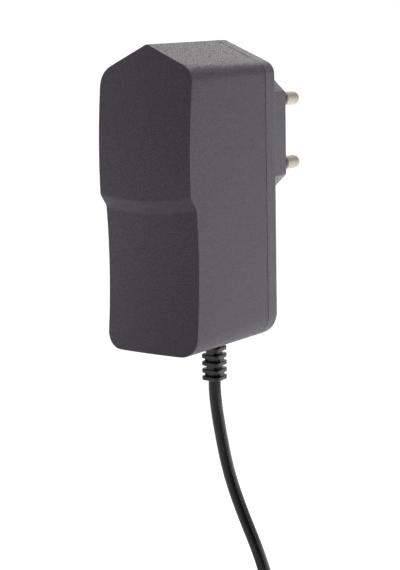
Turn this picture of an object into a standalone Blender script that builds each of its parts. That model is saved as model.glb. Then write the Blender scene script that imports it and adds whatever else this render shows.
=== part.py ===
"""Plug-in power adapter with a two-pin plug, a gabled housing and an output cord.

Units are metres. The origin is the centre of the plug's end face, between the two pins.
+Y points along the pins, into the socket. +Z is up, and X runs across the width.
Depths are counted from the origin toward -Y, so a larger depth is nearer the front.
"""

import math

import bmesh
import bpy
from mathutils import Matrix, Vector

# Clearance that every seated pair keeps
GAP = 0.0003

# Plug boss and pins
BOSS_DEPTH = 0.0205
BOSS_WIDTH = 0.0143
BOSS_HEIGHT = 0.0350
BOSS_FLAT_HEIGHT = 0.0234
BOSS_END_WIDTH = 0.0025
BOSS_DRAFT = 0.0003
BOSS_EDGE = 0.0004
BOSS_WALL = 0.0020
BOSS_END_WALL = 0.0030
PIN_SPACING = 0.0190
PIN_DIAMETER = 0.0040
PIN_LENGTH = 0.0190
PIN_NECK_DIAMETER = 0.0024
PIN_SHOULDER = 0.0003
PIN_HEAD_DIAMETER = 0.0050
PIN_HEAD_THICKNESS = 0.0014
PIN_TAIL_DIAMETER = 0.0016
PIN_TAIL_LENGTH = 0.0030
SLEEVE_LENGTH = 0.0105
SLEEVE_DIAMETER = 0.0039
TOWER_DIAMETER = 0.0070
TOWER_LENGTH = 0.0110

# Housing section at its rear face, and how much smaller it is at the front
HOUSING_WIDTH = 0.0305
BASE_DROP = 0.0542
EAVE_RISE = 0.0193
PEAK_RISE = 0.0264
WIDTH_TAPER = 0.0027
BASE_TAPER = 0.0017
EAVE_TAPER = 0.0009
PEAK_TAPER = 0.0015
BASE_CORNER_RADIUS = 0.0067
BASE_RADIUS_TAPER = 0.0021
EAVE_CORNER_RADIUS = 0.0037
EAVE_RADIUS_GAIN = 0.0015
PEAK_RADIUS = 0.0010
LEAST_RADIUS = 0.0002
WALL = 0.0020
SEAM_CHAMFER = 0.0003
EDGE_RADIUS = 0.0004

# Front face: a bulged upper part, a step and a hollow lower part
UPPER_DEPTH = 0.0400
UPPER_BULGE_RADIUS = 0.158
UPPER_BULGE_HEIGHT = -0.0080
UPPER_CROWN = 0.0004
LOWER_DEPTH = 0.0371
LOWER_HOLLOW_RADIUS = 0.160
LOWER_HOLLOW_HEIGHT = -0.0270
LOWER_CROWN = 0.0009
STEP_TOP = -0.0118
STEP_HEIGHT = 0.0038
STEP_ROUNDING = 0.2
STEP_SAG = 0.0014
STEP_SAG_REACH = 0.0120

# Rear cover
COVER_DEPTH = 0.0050
COVER_PLATE = 0.0024
COVER_EDGE_RADIUS = 0.0004
TONGUE_LENGTH = 0.0026
TONGUE_THICKNESS = 0.0013

# Strain relief
RELIEF_BEHIND_SEAM = 0.00415
RELIEF_RING_WIDTH = 0.0057
RELIEF_RING_RADIUS = 0.0012
RELIEF_RING_HEIGHT = 0.0012
RELIEF_RING_PITCH = 0.00207
RELIEF_RINGS = 6
RELIEF_CLEARANCE = 0.00095
RELIEF_CORE_WIDTH = 0.0038
RELIEF_CORE_RADIUS = 0.0017
RELIEF_WEB = 0.0020
RELIEF_WEB_INSET = 0.0003
RELIEF_NECK_WIDTH = 0.0042
RELIEF_NECK_RADIUS = 0.0005
RELIEF_FLANGE_WIDTH = 0.0066
RELIEF_FLANGE_THICKNESS = 0.0016
RELIEF_STUB_HEIGHT = 0.0030

# Circuit board, upright along one side wall
BOARD_THICKNESS = 0.0016
BOARD_OFF_WALL = 0.0020
BOARD_END_GAP = 0.0007
BOARD_ROOF_GAP = 0.0027
BOARD_FLOOR_GAP = 0.0018
RIB_THICKNESS = 0.0012
RIB_HEIGHT = 0.0016
LEAD_DIAMETER = 0.0007
LEAD_STUB = 0.0010
STAND_OFF = 0.0003
FORK_PLACES = {"upper": 0.238, "lower": 0.85}

# Parts on the board. Each fills a zone of the board's face less the gap between parts.
# A zone runs along the board from its rear edge, and down it from its top edge, as shares
PART_GAP = 0.0006
BOARD_ZONES = {
    "bulk_capacitor_1": (0.615, 0.970, 0.028, 0.172),
    "bulk_capacitor_2": (0.260, 0.615, 0.028, 0.172),
    "fuse_resistor": (0.025, 0.176, 0.032, 0.208),
    "filter_inductor": (0.687, 0.951, 0.174, 0.281),
    "bridge_rectifier": (0.257, 0.581, 0.172, 0.283),
    "controller": (0.455, 0.692, 0.295, 0.379),
    "transformer": (0.192, 0.955, 0.282, 0.598),
    "safety_capacitor": (0.023, 0.158, 0.342, 0.458),
    "optocoupler": (0.006, 0.192, 0.497, 0.623),
    "output_diode": (0.030, 0.211, 0.638, 0.802),
    "output_capacitor_1": (0.638, 0.962, 0.624, 0.756),
    "output_capacitor_2": (0.638, 0.962, 0.784, 0.916),
    "output_inductor": (0.340, 0.581, 0.641, 0.739),
}
# Heights as shares of the room between the board and the wall that it faces
CAN_HEIGHT = 0.76
OUTPUT_CAN_HEIGHT = 0.61
DRUM_HEIGHT = 0.41
OUTPUT_DRUM_HEIGHT = 0.33
RECTIFIER_HEIGHT = 0.15
OPTOCOUPLER_HEIGHT = 0.17
CORE_MIDDLE_HEIGHT = 0.427
CORE_THICKNESS = 0.30
CONTROLLER_HEIGHT = 0.60
CAN_GROOVE = 0.0004
DRUM_GROOVE = 0.0006
LEAD_SPREAD = 0.45
LEG_SPREAD = 0.60
CORE_LEG = 0.0031
CORE_CENTRE_LEG = 0.0058
BOBBIN_WALL = 0.0008
BOBBIN_LIP = 0.0004
BOBBIN_RAIL_DEPTH = 0.0036
WIRE_DIAMETER = 0.0014
WIRE_LANDINGS = {"line": (0.218, 0.046), "neutral": (0.100, 0.277)}
OUTPUT_WIRE_PLACE = 0.90

# Cord, coil and barrel plug
CORD_DIAMETER = 0.0036
COIL_DIAMETER = 11 * CORD_DIAMETER
COIL_LAYERS = 3
COIL_COLUMNS = 4
COIL_FREE_TAIL = 0.0180
TIE_THICKNESS = 0.0008
TIE_WIDTH = 0.0045
GRIP_DIAMETER = 0.0096
GRIP_LENGTH = 0.0180
GRIP_TAIL_LENGTH = 0.0100
GRIP_TAIL_DIAMETER = 0.0056
GRIP_RIBS = 4
BARREL_DIAMETER = 0.0055
BARREL_LENGTH = 0.0095
BARREL_WALL = 0.0004
CONTACT_BORE = 0.0021
CONTACT_WALL = 0.0004
CONTACT_RECESS = 0.0008

# Fineness of round shapes
BASE_ARC_STEPS = 6
EAVE_ARC_STEPS = 6
PEAK_ARC_STEPS = 3
FRONT_COLUMNS = 8
ROUND_SIDES = 20
SMALL_SIDES = 6

# Places that follow from the sizes above
SEAM_DEPTH = BOSS_DEPTH + COVER_DEPTH
RELIEF_DEPTH = SEAM_DEPTH + RELIEF_BEHIND_SEAM
MOUTH_DEPTH = SEAM_DEPTH + TONGUE_LENGTH


def clear_scene():
    for thing in list(bpy.data.objects):
        bpy.data.objects.remove(thing, do_unlink=True)


def linear(value):
    """One sRGB channel, 0 to 255, as a linear value."""
    share = value / 255
    return share / 12.92 if share <= 0.04045 else ((share + 0.055) / 1.055) ** 2.4


def make_material(name, colour, roughness, metallic=0.0):
    material = bpy.data.materials.new(name)
    material.use_nodes = True
    shader = material.node_tree.nodes["Principled BSDF"]
    shader.inputs["Base Color"].default_value = (*[linear(c) for c in colour], 1.0)
    shader.inputs["Roughness"].default_value = roughness
    shader.inputs["Metallic"].default_value = metallic
    return material


def make_materials():
    return {
        "housing": make_material("housing_plastic", (92, 89, 95), 0.62),
        "relief": make_material("relief_vinyl", (52, 50, 54), 0.55),
        "cord": make_material("cord_vinyl", (58, 56, 60), 0.45),
        "sleeve": make_material("sleeve_plastic", (50, 49, 52), 0.5),
        "nickel": make_material("nickel", (200, 192, 182), 0.28, 1.0),
        "board": make_material("board_laminate", (176, 150, 96), 0.6),
        "ferrite": make_material("ferrite", (62, 60, 60), 0.75),
        "bobbin": make_material("bobbin_plastic", (34, 34, 36), 0.5),
        "tape": make_material("winding_tape", (222, 184, 46), 0.4),
        "can": make_material("capacitor_sleeve", (30, 38, 60), 0.35),
        "epoxy": make_material("epoxy", (36, 36, 38), 0.5),
        "disc": make_material("disc_coating", (56, 104, 168), 0.45),
        "resistor": make_material("resistor_coating", (122, 146, 128), 0.5),
        "tie": make_material("tie_plastic", (30, 30, 31), 0.4),
        "red": make_material("red_insulation", (170, 34, 30), 0.45),
        "black": make_material("black_insulation", (28, 28, 30), 0.45),
        "blue": make_material("blue_insulation", (40, 66, 140), 0.45),
        "brown": make_material("brown_insulation", (96, 60, 40), 0.45),
    }


def add_object(name, bm, material=None):
    """Turn a bmesh into a named object with outward faces."""
    bmesh.ops.remove_doubles(bm, verts=bm.verts, dist=1e-7)
    bmesh.ops.recalc_face_normals(bm, faces=bm.faces)
    mesh = bpy.data.meshes.new(name)
    bm.to_mesh(mesh)
    bm.free()
    thing = bpy.data.objects.new(name, mesh)
    bpy.context.collection.objects.link(thing)
    if material:
        mesh.materials.append(material)
    return thing


def smooth(thing, degrees=35):
    thing.data.shade_smooth()
    thing.data.set_sharp_from_angle(angle=math.radians(degrees))
    return thing


def boolean(thing, cutter, operation):
    """Join or cut with a helper object, which stays out of the model."""
    cutter.hide_render = True
    cutter.display_type = "WIRE"
    modifier = thing.modifiers.new(operation.lower() + "_" + cutter.name, "BOOLEAN")
    modifier.operation = operation
    modifier.solver = "EXACT"
    modifier.object = cutter
    return thing


def join_rings(bm, rings, close_start=True, close_end=True):
    """Skin a stack of point rings that all have the same count."""
    rows = [[bm.verts.new(point) for point in ring] for ring in rings]
    count = len(rows[0])
    for row, following in zip(rows, rows[1:]):
        for index in range(count):
            after = (index + 1) % count
            bm.faces.new((row[index], row[after], following[after], following[index]))
    if close_start:
        bm.faces.new(rows[0])
    if close_end:
        bm.faces.new(rows[-1])
    return rows


def box_mesh(bm, low, high):
    size = Vector(high) - Vector(low)
    centre = (Vector(high) + Vector(low)) / 2
    bmesh.ops.create_cube(bm, size=1.0, matrix=Matrix.Translation(centre) @ Matrix.Diagonal((*size, 1.0)))


def make_box(name, low, high, material=None, bevel=0.0):
    bm = bmesh.new()
    box_mesh(bm, low, high)
    if bevel:
        bmesh.ops.bevel(
            bm, geom=bm.edges, offset=bevel, offset_type="OFFSET", segments=1, profile=0.5, affect="EDGES"
        )
    return add_object(name, bm, material)


def frame_along(direction):
    """Rotation that turns +Z to the given direction."""
    return Vector(direction).normalized().to_track_quat("Z", "Y").to_matrix().to_4x4()


def turned_rings(profile, base, direction, sides):
    """Rings of a turned profile of (radius, distance along the axis)."""
    place = Matrix.Translation(Vector(base)) @ frame_along(direction)
    rings = []
    for radius, along in profile:
        ring = []
        for step in range(sides):
            angle = 2 * math.pi * (step + 0.5) / sides
            ring.append(place @ Vector((radius * math.cos(angle), radius * math.sin(angle), along)))
        rings.append(ring)
    return rings


def make_turned(name, profile, base, direction, material=None, sides=ROUND_SIDES):
    bm = bmesh.new()
    join_rings(bm, turned_rings(profile, base, direction, sides))
    return smooth(add_object(name, bm, material))


def make_tube(name, outer, inner, length, base, direction, material, sides=ROUND_SIDES):
    """Open tube: outside and inside walls joined at both ends."""
    bm = bmesh.new()
    profile = [(outer, 0.0), (outer, length), (inner, length), (inner, 0.0), (outer, 0.0)]
    join_rings(bm, turned_rings(profile, base, direction, sides), False, False)
    return smooth(add_object(name, bm, material))


def make_cutter(name, diameter, start, end, sides=ROUND_SIDES):
    """Plain round cutter between two points."""
    start, end = Vector(start), Vector(end)
    profile = [(diameter / 2, 0.0), (diameter / 2, (end - start).length)]
    return make_turned(name, profile, start, end - start, sides=sides)


def join_leads(bm, places, diameter, top, bottom):
    """Straight round leads through the board, one for each (y, z) place."""
    for along_y, along_z in places:
        profile = [(diameter / 2, 0.0), (diameter / 2, top - bottom)]
        join_rings(bm, turned_rings(profile, (bottom, along_y, along_z), (1, 0, 0), SMALL_SIDES))


def rounded_square(width, radius, height, centre, steps=2):
    """Ring of points of a square with round corners, in a level plane."""
    inner = width / 2 - radius
    ring = []
    for corner in range(4):
        middle = math.pi / 4 + corner * math.pi / 2
        corner_x = inner * math.copysign(1, math.cos(middle))
        corner_y = inner * math.copysign(1, math.sin(middle))
        for step in range(steps + 1):
            angle = corner * math.pi / 2 + step / steps * math.pi / 2
            ring.append(
                Vector((
                    centre[0] + corner_x + radius * math.cos(angle),
                    centre[1] + corner_y + radius * math.sin(angle),
                    height,
                ))
            )
    return ring


# Housing section


def housing_sizes(share):
    """Half width, base, eave and peak of the section: 0 at the rear face, 1 at the front."""
    return (
        (HOUSING_WIDTH - WIDTH_TAPER * share) / 2,
        -BASE_DROP + BASE_TAPER * share,
        EAVE_RISE - EAVE_TAPER * share,
        PEAK_RISE - PEAK_TAPER * share,
    )


def side_heights():
    """Heights of the rows of points between the base corner and the eave."""
    step_bottom = STEP_TOP - STEP_HEIGHT
    lower_end = -BASE_DROP + BASE_TAPER + BASE_CORNER_RADIUS + 0.0025
    lower_start = step_bottom - 0.0015
    lower = [lower_end + (lower_start - lower_end) * step / 5 for step in range(6)]
    shares = (1.0, 1 - STEP_ROUNDING / 2, 1 - STEP_ROUNDING, 0.5, STEP_ROUNDING, STEP_ROUNDING / 2, 0.0)
    stepped = [STEP_TOP - STEP_HEIGHT * share for share in shares]
    upper_start = STEP_TOP + 0.0030
    upper_end = EAVE_RISE - EAVE_TAPER - EAVE_CORNER_RADIUS - EAVE_RADIUS_GAIN
    upper = [upper_start + (upper_end - upper_start) * step / 4 for step in range(5)]
    return lower + stepped + upper


def half_section(share, inset):
    """Right half of the housing's outline, from the base to the peak, as (x, z) points."""
    half_width, base, eave, peak = housing_sizes(share)
    pitch = math.atan2(peak - eave, half_width)
    half_width -= inset
    base += inset
    peak -= inset / math.cos(pitch)
    points = []
    radius = max(BASE_CORNER_RADIUS - BASE_RADIUS_TAPER * share - inset, LEAST_RADIUS)
    centre_x, centre_z = half_width - radius, base + radius
    for step in range(BASE_ARC_STEPS + 1):
        angle = -math.pi / 2 + step / BASE_ARC_STEPS * math.pi / 2
        points.append((centre_x + radius * math.cos(angle), centre_z + radius * math.sin(angle)))
    points += [(half_width, height) for height in side_heights()]
    radius = max(EAVE_CORNER_RADIUS + EAVE_RADIUS_GAIN * share - inset, LEAST_RADIUS)
    centre_x = half_width - radius
    centre_z = (peak * math.cos(pitch) - radius - centre_x * math.sin(pitch)) / math.cos(pitch)
    for step in range(EAVE_ARC_STEPS + 1):
        angle = step / EAVE_ARC_STEPS * (math.pi / 2 - pitch)
        points.append((centre_x + radius * math.cos(angle), centre_z + radius * math.sin(angle)))
    eave_end = points[-1]
    radius = max(PEAK_RADIUS - inset, LEAST_RADIUS)
    centre_z = peak - radius / math.cos(pitch)
    peak_start = (radius * math.sin(pitch), centre_z + radius * math.cos(pitch))
    for step in (1, 2):
        share_up = step / 3
        points.append(tuple(a + (b - a) * share_up for a, b in zip(eave_end, peak_start)))
    for step in range(PEAK_ARC_STEPS + 1):
        angle = pitch * (1 - step / PEAK_ARC_STEPS)
        points.append((radius * math.sin(angle), centre_z + radius * math.cos(angle)))
    return points


def eased(share):
    """Ramp from 0 to 1 with both ends rounded off."""
    share = min(max(share, 0.0), 1.0)
    slope = 1 / (1 - STEP_ROUNDING)
    if share < STEP_ROUNDING:
        return slope * share**2 / (2 * STEP_ROUNDING)
    if share > 1 - STEP_ROUNDING:
        return 1 - slope * (1 - share) ** 2 / (2 * STEP_ROUNDING)
    return slope * (share - STEP_ROUNDING / 2)


def front_depth(height):
    """Depth of the front face's side edges at a height."""
    upper = UPPER_DEPTH - (height - UPPER_BULGE_HEIGHT) ** 2 / (2 * UPPER_BULGE_RADIUS)
    lower = LOWER_DEPTH + (height - LOWER_HOLLOW_HEIGHT) ** 2 / (2 * LOWER_HOLLOW_RADIUS)
    below = eased((STEP_TOP - height) / STEP_HEIGHT)
    return BOSS_DEPTH + upper + (lower - upper) * below


def front_crown(height, across):
    """How far the front face stands out past its side edges at a height and a place across."""
    below = eased((STEP_TOP - height) / STEP_HEIGHT)
    crown = UPPER_CROWN + (LOWER_CROWN - UPPER_CROWN) * below
    return crown * (1 - (across / housing_sizes(1)[0]) ** 2)


def front_sag(height):
    """How much lower the middle of a row lies than its ends, most at the step."""
    away = abs(height - (STEP_TOP - STEP_HEIGHT / 2)) / STEP_SAG_REACH
    return STEP_SAG * max(0.0, 1 - away**2)


def ring_order(rows):
    """The outline's points as (row, share of the half width), all the way round."""
    base = [(0, 2 * column / FRONT_COLUMNS - 1) for column in range(FRONT_COLUMNS + 1)]
    right = [(row, 1) for row in range(1, rows - 1)]
    left = [(row, -1) for row in range(rows - 2, 0, -1)]
    return base + right + [(rows - 1, 0)] + left


def housing_ring(depth_at, inset=0.0):
    """One ring of the housing, whose depth may change with height and across."""
    rear, front = half_section(0, inset), half_section(1, inset)
    ring = []
    for row, side in ring_order(len(rear)):
        depth = depth_at(front[row][1], front[row][0] * side)
        share = (depth - BOSS_DEPTH) / LOWER_DEPTH
        across = rear[row][0] + (front[row][0] - rear[row][0]) * share
        height = rear[row][1] + (front[row][1] - rear[row][1]) * share
        ring.append(Vector((across * side, -depth, height)))
    return ring


def flat_ring(depth, inset=0.0):
    return housing_ring(lambda height, across: depth, inset)


def front_ring(back, inset):
    """A ring that follows the front face at a distance behind it."""
    return housing_ring(
        lambda height, across: front_depth(height) + front_crown(height, across) - back, inset
    )


def fill_front(bm, ring):
    """Close the front with rows of faces that follow the crown and the sagging step."""
    rows = len(half_section(0, 0))
    grid = {}
    for vertex, (row, side) in zip(ring, ring_order(rows)):
        grid[row, round((side + 1) * FRONT_COLUMNS / 2)] = vertex
    for row in range(1, rows - 1):
        edge = grid[row, FRONT_COLUMNS].co
        for column in range(1, FRONT_COLUMNS):
            side = 2 * column / FRONT_COLUMNS - 1
            across = edge.x * side
            depth = -edge.y + front_crown(edge.z, across) - front_crown(edge.z, edge.x)
            grid[row, column] = bm.verts.new((across, -depth, edge.z - front_sag(edge.z) * (1 - side**2)))
    peak = grid[rows - 1, FRONT_COLUMNS // 2]
    for row in range(rows - 2):
        for column in range(FRONT_COLUMNS):
            bm.faces.new((
                grid[row, column], grid[row, column + 1], grid[row + 1, column + 1], grid[row + 1, column]
            ))
    for column in range(FRONT_COLUMNS):
        bm.faces.new((grid[rows - 2, column], grid[rows - 2, column + 1], peak))


def inner_half_width(depth):
    """Half width of the shell's inside at a depth."""
    share = (depth - BOSS_DEPTH) / LOWER_DEPTH
    return housing_sizes(share)[0] - WALL


def inner_base(depth):
    """Height of the shell's inside floor at a depth."""
    share = (depth - BOSS_DEPTH) / LOWER_DEPTH
    return housing_sizes(share)[1] + WALL


def inner_roof(depth, across):
    """Height of the shell's inside roof at a depth and a distance from the middle."""
    half_width, _, eave, peak = housing_sizes((depth - BOSS_DEPTH) / LOWER_DEPTH)
    pitch = math.atan2(peak - eave, half_width)
    return peak - WALL / math.cos(pitch) - abs(across) * math.tan(pitch)


def shell_body():
    """Hollow shell as one skin: outside, front, seam rim and inside."""
    bm = bmesh.new()
    outside = [
        flat_ring(SEAM_DEPTH + GAP / 2, SEAM_CHAMFER),
        flat_ring(SEAM_DEPTH + GAP / 2 + SEAM_CHAMFER),
    ]
    for step in range(4):
        angle = step / 3 * math.pi / 2
        back = EDGE_RADIUS * (1 - math.sin(angle))
        inset = EDGE_RADIUS * (1 - math.cos(angle))
        outside.append(front_ring(back, inset))
    rows = join_rings(bm, outside, False, False)
    fill_front(bm, rows[-1])
    inside = [flat_ring(SEAM_DEPTH + GAP / 2, WALL), front_ring(WALL, WALL)]
    inner_rows = join_rings(bm, inside, False, False)
    fill_front(bm, inner_rows[-1])
    for index, vertex in enumerate(rows[0]):
        after = (index + 1) % len(rows[0])
        bm.faces.new((vertex, rows[0][after], inner_rows[0][after], inner_rows[0][index]))
    return bm


def board_left():
    """Place across of the board's outer face, off the narrowest inside wall that it passes."""
    return -(inner_half_width(BOSS_DEPTH + UPPER_DEPTH) - BOARD_OFF_WALL)


def board_face():
    return board_left() + BOARD_THICKNESS


def board_rear():
    """Depth of the board's rear edge, in front of the cover's tongue."""
    return MOUTH_DEPTH + BOARD_END_GAP


def board_front():
    """Depth of the board's front edge, behind the front wall where that is least deep."""
    nearest = min(front_depth(height) for height in [*side_heights(), EAVE_RISE])
    return nearest - WALL - BOARD_END_GAP


def board_top():
    return inner_roof(board_front(), board_left()) - BOARD_ROOF_GAP


def board_bottom():
    return inner_base(board_front()) + BOARD_FLOOR_GAP


def board_room():
    """Free height between the board's face and the wall that it faces, where that is narrowest."""
    return inner_half_width(BOSS_DEPTH + UPPER_DEPTH) - board_face()


def board_y(share):
    """A place along the board, 0 at its rear edge and 1 at its front edge."""
    return -(board_rear() + (board_front() - board_rear()) * share)


def board_z(share):
    """A place down the board, 0 at its top edge and 1 at its bottom edge."""
    return board_top() - (board_top() - board_bottom()) * share


def make_rib(name, low, high, root_at, tip):
    """Rib along the board's edge whose root follows the tapering wall."""
    bm = bmesh.new()
    rings = []
    for depth in (board_rear() + RIB_THICKNESS, board_front()):
        root = root_at(depth)
        corners = [(low, root), (high, root), (high, tip), (low, tip)]
        rings.append([Vector((across, -depth, height)) for across, height in corners])
    join_rings(bm, rings)
    return add_object(name, bm)


def add_board_ribs(shell):
    """Two ribs under the roof and two on the floor, which hold the board's edges."""
    slot_low = board_left() - GAP
    slot_high = board_face() + GAP
    sunk = 0.4 * WALL
    for place, low in (("outer", slot_low - RIB_THICKNESS), ("inner", slot_high)):
        high = low + RIB_THICKNESS
        floor = make_rib(
            "floor_rib_" + place, low, high, lambda depth: inner_base(depth) - sunk,
            board_bottom() + RIB_HEIGHT,
        )
        boolean(shell, floor, "UNION")
        roof = make_rib(
            "roof_rib_" + place, low, high, lambda depth, low=low: inner_roof(depth, low) + sunk,
            board_top() - RIB_HEIGHT,
        )
        boolean(shell, roof, "UNION")


def relief_slot_cutter():
    """Slot in the shell's floor, open to the seam, for the strain relief's neck."""
    half = RELIEF_NECK_WIDTH / 2 + GAP
    low = (-half, -(RELIEF_DEPTH + half), inner_base(RELIEF_DEPTH) - 3 * WALL)
    high = (half, -(SEAM_DEPTH - WALL), inner_base(RELIEF_DEPTH) + WALL / 2)
    return make_box("relief_slot", low, high)


def make_front_shell(materials):
    shell = add_object("front_shell", shell_body(), materials["housing"])
    add_board_ribs(shell)
    boolean(shell, relief_slot_cutter(), "DIFFERENCE")
    return smooth(shell, 30)


# Rear cover with the plug boss


def cover_body():
    """Flanged lid: flat rear face, outer rim, and a tongue that enters the shell."""
    bm = bmesh.new()
    rings = []
    for step in range(4):
        angle = step / 3 * math.pi / 2
        inset = COVER_EDGE_RADIUS * (1 - math.sin(angle))
        rings.append(flat_ring(BOSS_DEPTH + COVER_EDGE_RADIUS * (1 - math.cos(angle)), inset))
    seam = SEAM_DEPTH - GAP / 2
    tongue_end = MOUTH_DEPTH
    outer = WALL + GAP
    inner = outer + TONGUE_THICKNESS
    rings += [
        flat_ring(seam - SEAM_CHAMFER),
        flat_ring(seam, SEAM_CHAMFER),
        flat_ring(seam, outer),
        flat_ring(tongue_end - SEAM_CHAMFER, outer),
        flat_ring(tongue_end, outer + SEAM_CHAMFER),
        flat_ring(tongue_end, inner),
        flat_ring(BOSS_DEPTH + COVER_PLATE, inner),
    ]
    join_rings(bm, rings)
    bmesh.ops.dissolve_limit(bm, angle_limit=math.radians(0.1), verts=bm.verts, edges=bm.edges)
    return bm


def boss_ring(depth, inset=0.0):
    """Octagon section of the plug boss, a little larger toward the cover."""
    grow = BOSS_DRAFT * depth / BOSS_DEPTH - inset
    half_width = BOSS_WIDTH / 2 + grow
    half_height = BOSS_HEIGHT / 2 + grow
    slope_x = (BOSS_WIDTH - BOSS_END_WIDTH) / 2
    slope_z = (BOSS_HEIGHT - BOSS_FLAT_HEIGHT) / 2
    slope = math.hypot(slope_x, slope_z)
    half_flat = BOSS_FLAT_HEIGHT / 2 + grow * (slope - slope_z) / slope_x
    half_end = BOSS_END_WIDTH / 2 + grow * (slope - slope_x) / slope_z
    corners = [
        (half_width, -half_flat), (half_width, half_flat),
        (half_end, half_height), (-half_end, half_height),
        (-half_width, half_flat), (-half_width, -half_flat),
        (-half_end, -half_height), (half_end, -half_height),
    ]
    return [Vector((across, -depth, height)) for across, height in corners]


def make_boss():
    bm = bmesh.new()
    rings = [boss_ring(0.0, BOSS_EDGE), boss_ring(BOSS_EDGE), boss_ring(BOSS_DEPTH + COVER_PLATE / 2)]
    join_rings(bm, rings)
    return add_object("boss", bm)


def boss_hollow():
    bm = bmesh.new()
    rings = [boss_ring(BOSS_END_WALL, BOSS_WALL), boss_ring(BOSS_DEPTH + 2 * COVER_PLATE, BOSS_WALL)]
    join_rings(bm, rings)
    return add_object("boss_hollow", bm)


def pin_heights():
    return {"line": PIN_SPACING / 2, "neutral": -PIN_SPACING / 2}


def tower_end():
    """Depth of the inner end of the towers that carry the pins."""
    return BOSS_END_WALL + TOWER_LENGTH


def relief_tab():
    """Tab of the cover that closes the shell's slot behind the strain relief."""
    half = RELIEF_NECK_WIDTH / 2
    share = (SEAM_DEPTH - BOSS_DEPTH) / LOWER_DEPTH
    outside = housing_sizes(share)[1]
    front = RELIEF_DEPTH - RELIEF_NECK_WIDTH / 2 - GAP
    low = (-half, -front, outside + GAP)
    high = (half, -(SEAM_DEPTH - COVER_DEPTH / 2), relief_floor() - GAP)
    return make_box("relief_tab", low, high)


def tongue_notch():
    """Gap in the tongue for the flange of the strain relief."""
    half = RELIEF_FLANGE_WIDTH / 2 + GAP
    floor = inner_base(MOUTH_DEPTH)
    low = (-half, -(MOUTH_DEPTH + GAP), floor - WALL / 2 + GAP)
    high = (half, -(RELIEF_DEPTH - half), floor + RELIEF_FLANGE_THICKNESS + 3 * GAP)
    return make_box("tongue_notch", low, high)


def board_fork(height, name):
    """Fork on the cover that holds the board's rear edge."""
    middle = (board_left() + board_face()) / 2
    half = BOARD_THICKNESS / 2 + GAP + RIB_THICKNESS
    back = BOSS_DEPTH + COVER_PLATE / 2
    low = (middle - half, -(board_rear() + 2 * RIB_THICKNESS), height - RIB_THICKNESS)
    high = (middle + half, -back, height + RIB_THICKNESS)
    fork = make_box("fork_" + name, low, high)
    slot = BOARD_THICKNESS / 2 + GAP
    low = (middle - slot, low[1] - GAP, low[2] - GAP)
    high = (middle + slot, -(board_rear() - GAP), high[2] + GAP)
    return fork, make_box("fork_slot_" + name, low, high)


def make_back_cover(materials):
    cover = add_object("back_cover", cover_body(), materials["housing"])
    boolean(cover, make_boss(), "UNION")
    boolean(cover, boss_hollow(), "DIFFERENCE")
    for name, height in pin_heights().items():
        start = (0, -BOSS_END_WALL / 2, height)
        tower = make_cutter("tower_" + name, TOWER_DIAMETER, start, (0, -tower_end(), height))
        boolean(cover, tower, "UNION")
    for name, height in pin_heights().items():
        mouth = (0, BOSS_EDGE, height)
        bore = PIN_NECK_DIAMETER + 2 * GAP
        hole = make_cutter("neck_hole_" + name, bore, mouth, (0, -tower_end() - WALL, height))
        boolean(cover, hole, "DIFFERENCE")
        bore = SLEEVE_DIAMETER + 2 * GAP
        seat = make_cutter("sleeve_hole_" + name, bore, mouth, (0, -BOSS_END_WALL, height))
        boolean(cover, seat, "DIFFERENCE")
    boolean(cover, tongue_notch(), "DIFFERENCE")
    boolean(cover, relief_tab(), "UNION")
    for name, place in FORK_PLACES.items():
        fork, slot = board_fork(board_z(place), name)
        boolean(cover, fork, "UNION")
        boolean(cover, slot, "DIFFERENCE")
    return smooth(cover, 30)


# Pins


def make_pin(name, height, material):
    """Turned pin: rounded tip, shoulder, neck, head and solder tail."""
    radius = PIN_DIAMETER / 2
    neck = PIN_NECK_DIAMETER / 2
    shoulder = SLEEVE_LENGTH + GAP
    head = -(tower_end() + GAP)
    profile = [
        (PIN_TAIL_DIAMETER / 2, head - PIN_HEAD_THICKNESS - PIN_TAIL_LENGTH),
        (PIN_TAIL_DIAMETER / 2, head - PIN_HEAD_THICKNESS),
        (PIN_HEAD_DIAMETER / 2, head - PIN_HEAD_THICKNESS),
        (PIN_HEAD_DIAMETER / 2, head),
        (neck, head),
        (neck, shoulder),
        (radius - PIN_SHOULDER, shoulder),
        (radius, shoulder + PIN_SHOULDER),
    ]
    for step in range(6):
        angle = step / 6 * math.pi / 2
        profile.append((radius * math.cos(angle), PIN_LENGTH - radius + radius * math.sin(angle)))
    profile.append((radius * 0.08, PIN_LENGTH))
    return make_turned(name, profile, (0, 0, height), (0, 1, 0), material)


def make_sleeve(name, height, material):
    """Insulating sleeve round the pin's neck, seated in the plug's end wall."""
    start = -(BOSS_END_WALL - GAP)
    outer = SLEEVE_DIAMETER / 2
    inner = PIN_NECK_DIAMETER / 2 + GAP
    edge = PIN_SHOULDER
    profile = [
        (outer, start), (outer, SLEEVE_LENGTH - edge), (outer - edge, SLEEVE_LENGTH),
        (inner, SLEEVE_LENGTH), (inner, start), (outer, start),
    ]
    bm = bmesh.new()
    join_rings(bm, turned_rings(profile, (0, 0, height), (0, 1, 0), ROUND_SIDES), False, False)
    return smooth(add_object(name, bm, material))


def make_pins(materials):
    for name, height in pin_heights().items():
        make_pin("plug_pin_" + name, height, materials["nickel"])
        make_sleeve("pin_sleeve_" + name, height, materials["sleeve"])


# Strain relief


def relief_base():
    """Height of the housing's underside at the strain relief's rear edge, its lowest part there."""
    depth = RELIEF_DEPTH - RELIEF_RING_WIDTH / 2
    return housing_sizes((depth - BOSS_DEPTH) / LOWER_DEPTH)[1]


def relief_ring_centre(index):
    first = relief_base() - RELIEF_CLEARANCE - RELIEF_RING_HEIGHT / 2
    return first - index * RELIEF_RING_PITCH


def relief_end():
    """Height of the strain relief's lower end."""
    return relief_ring_centre(RELIEF_RINGS - 1) - RELIEF_RING_HEIGHT / 2


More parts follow.
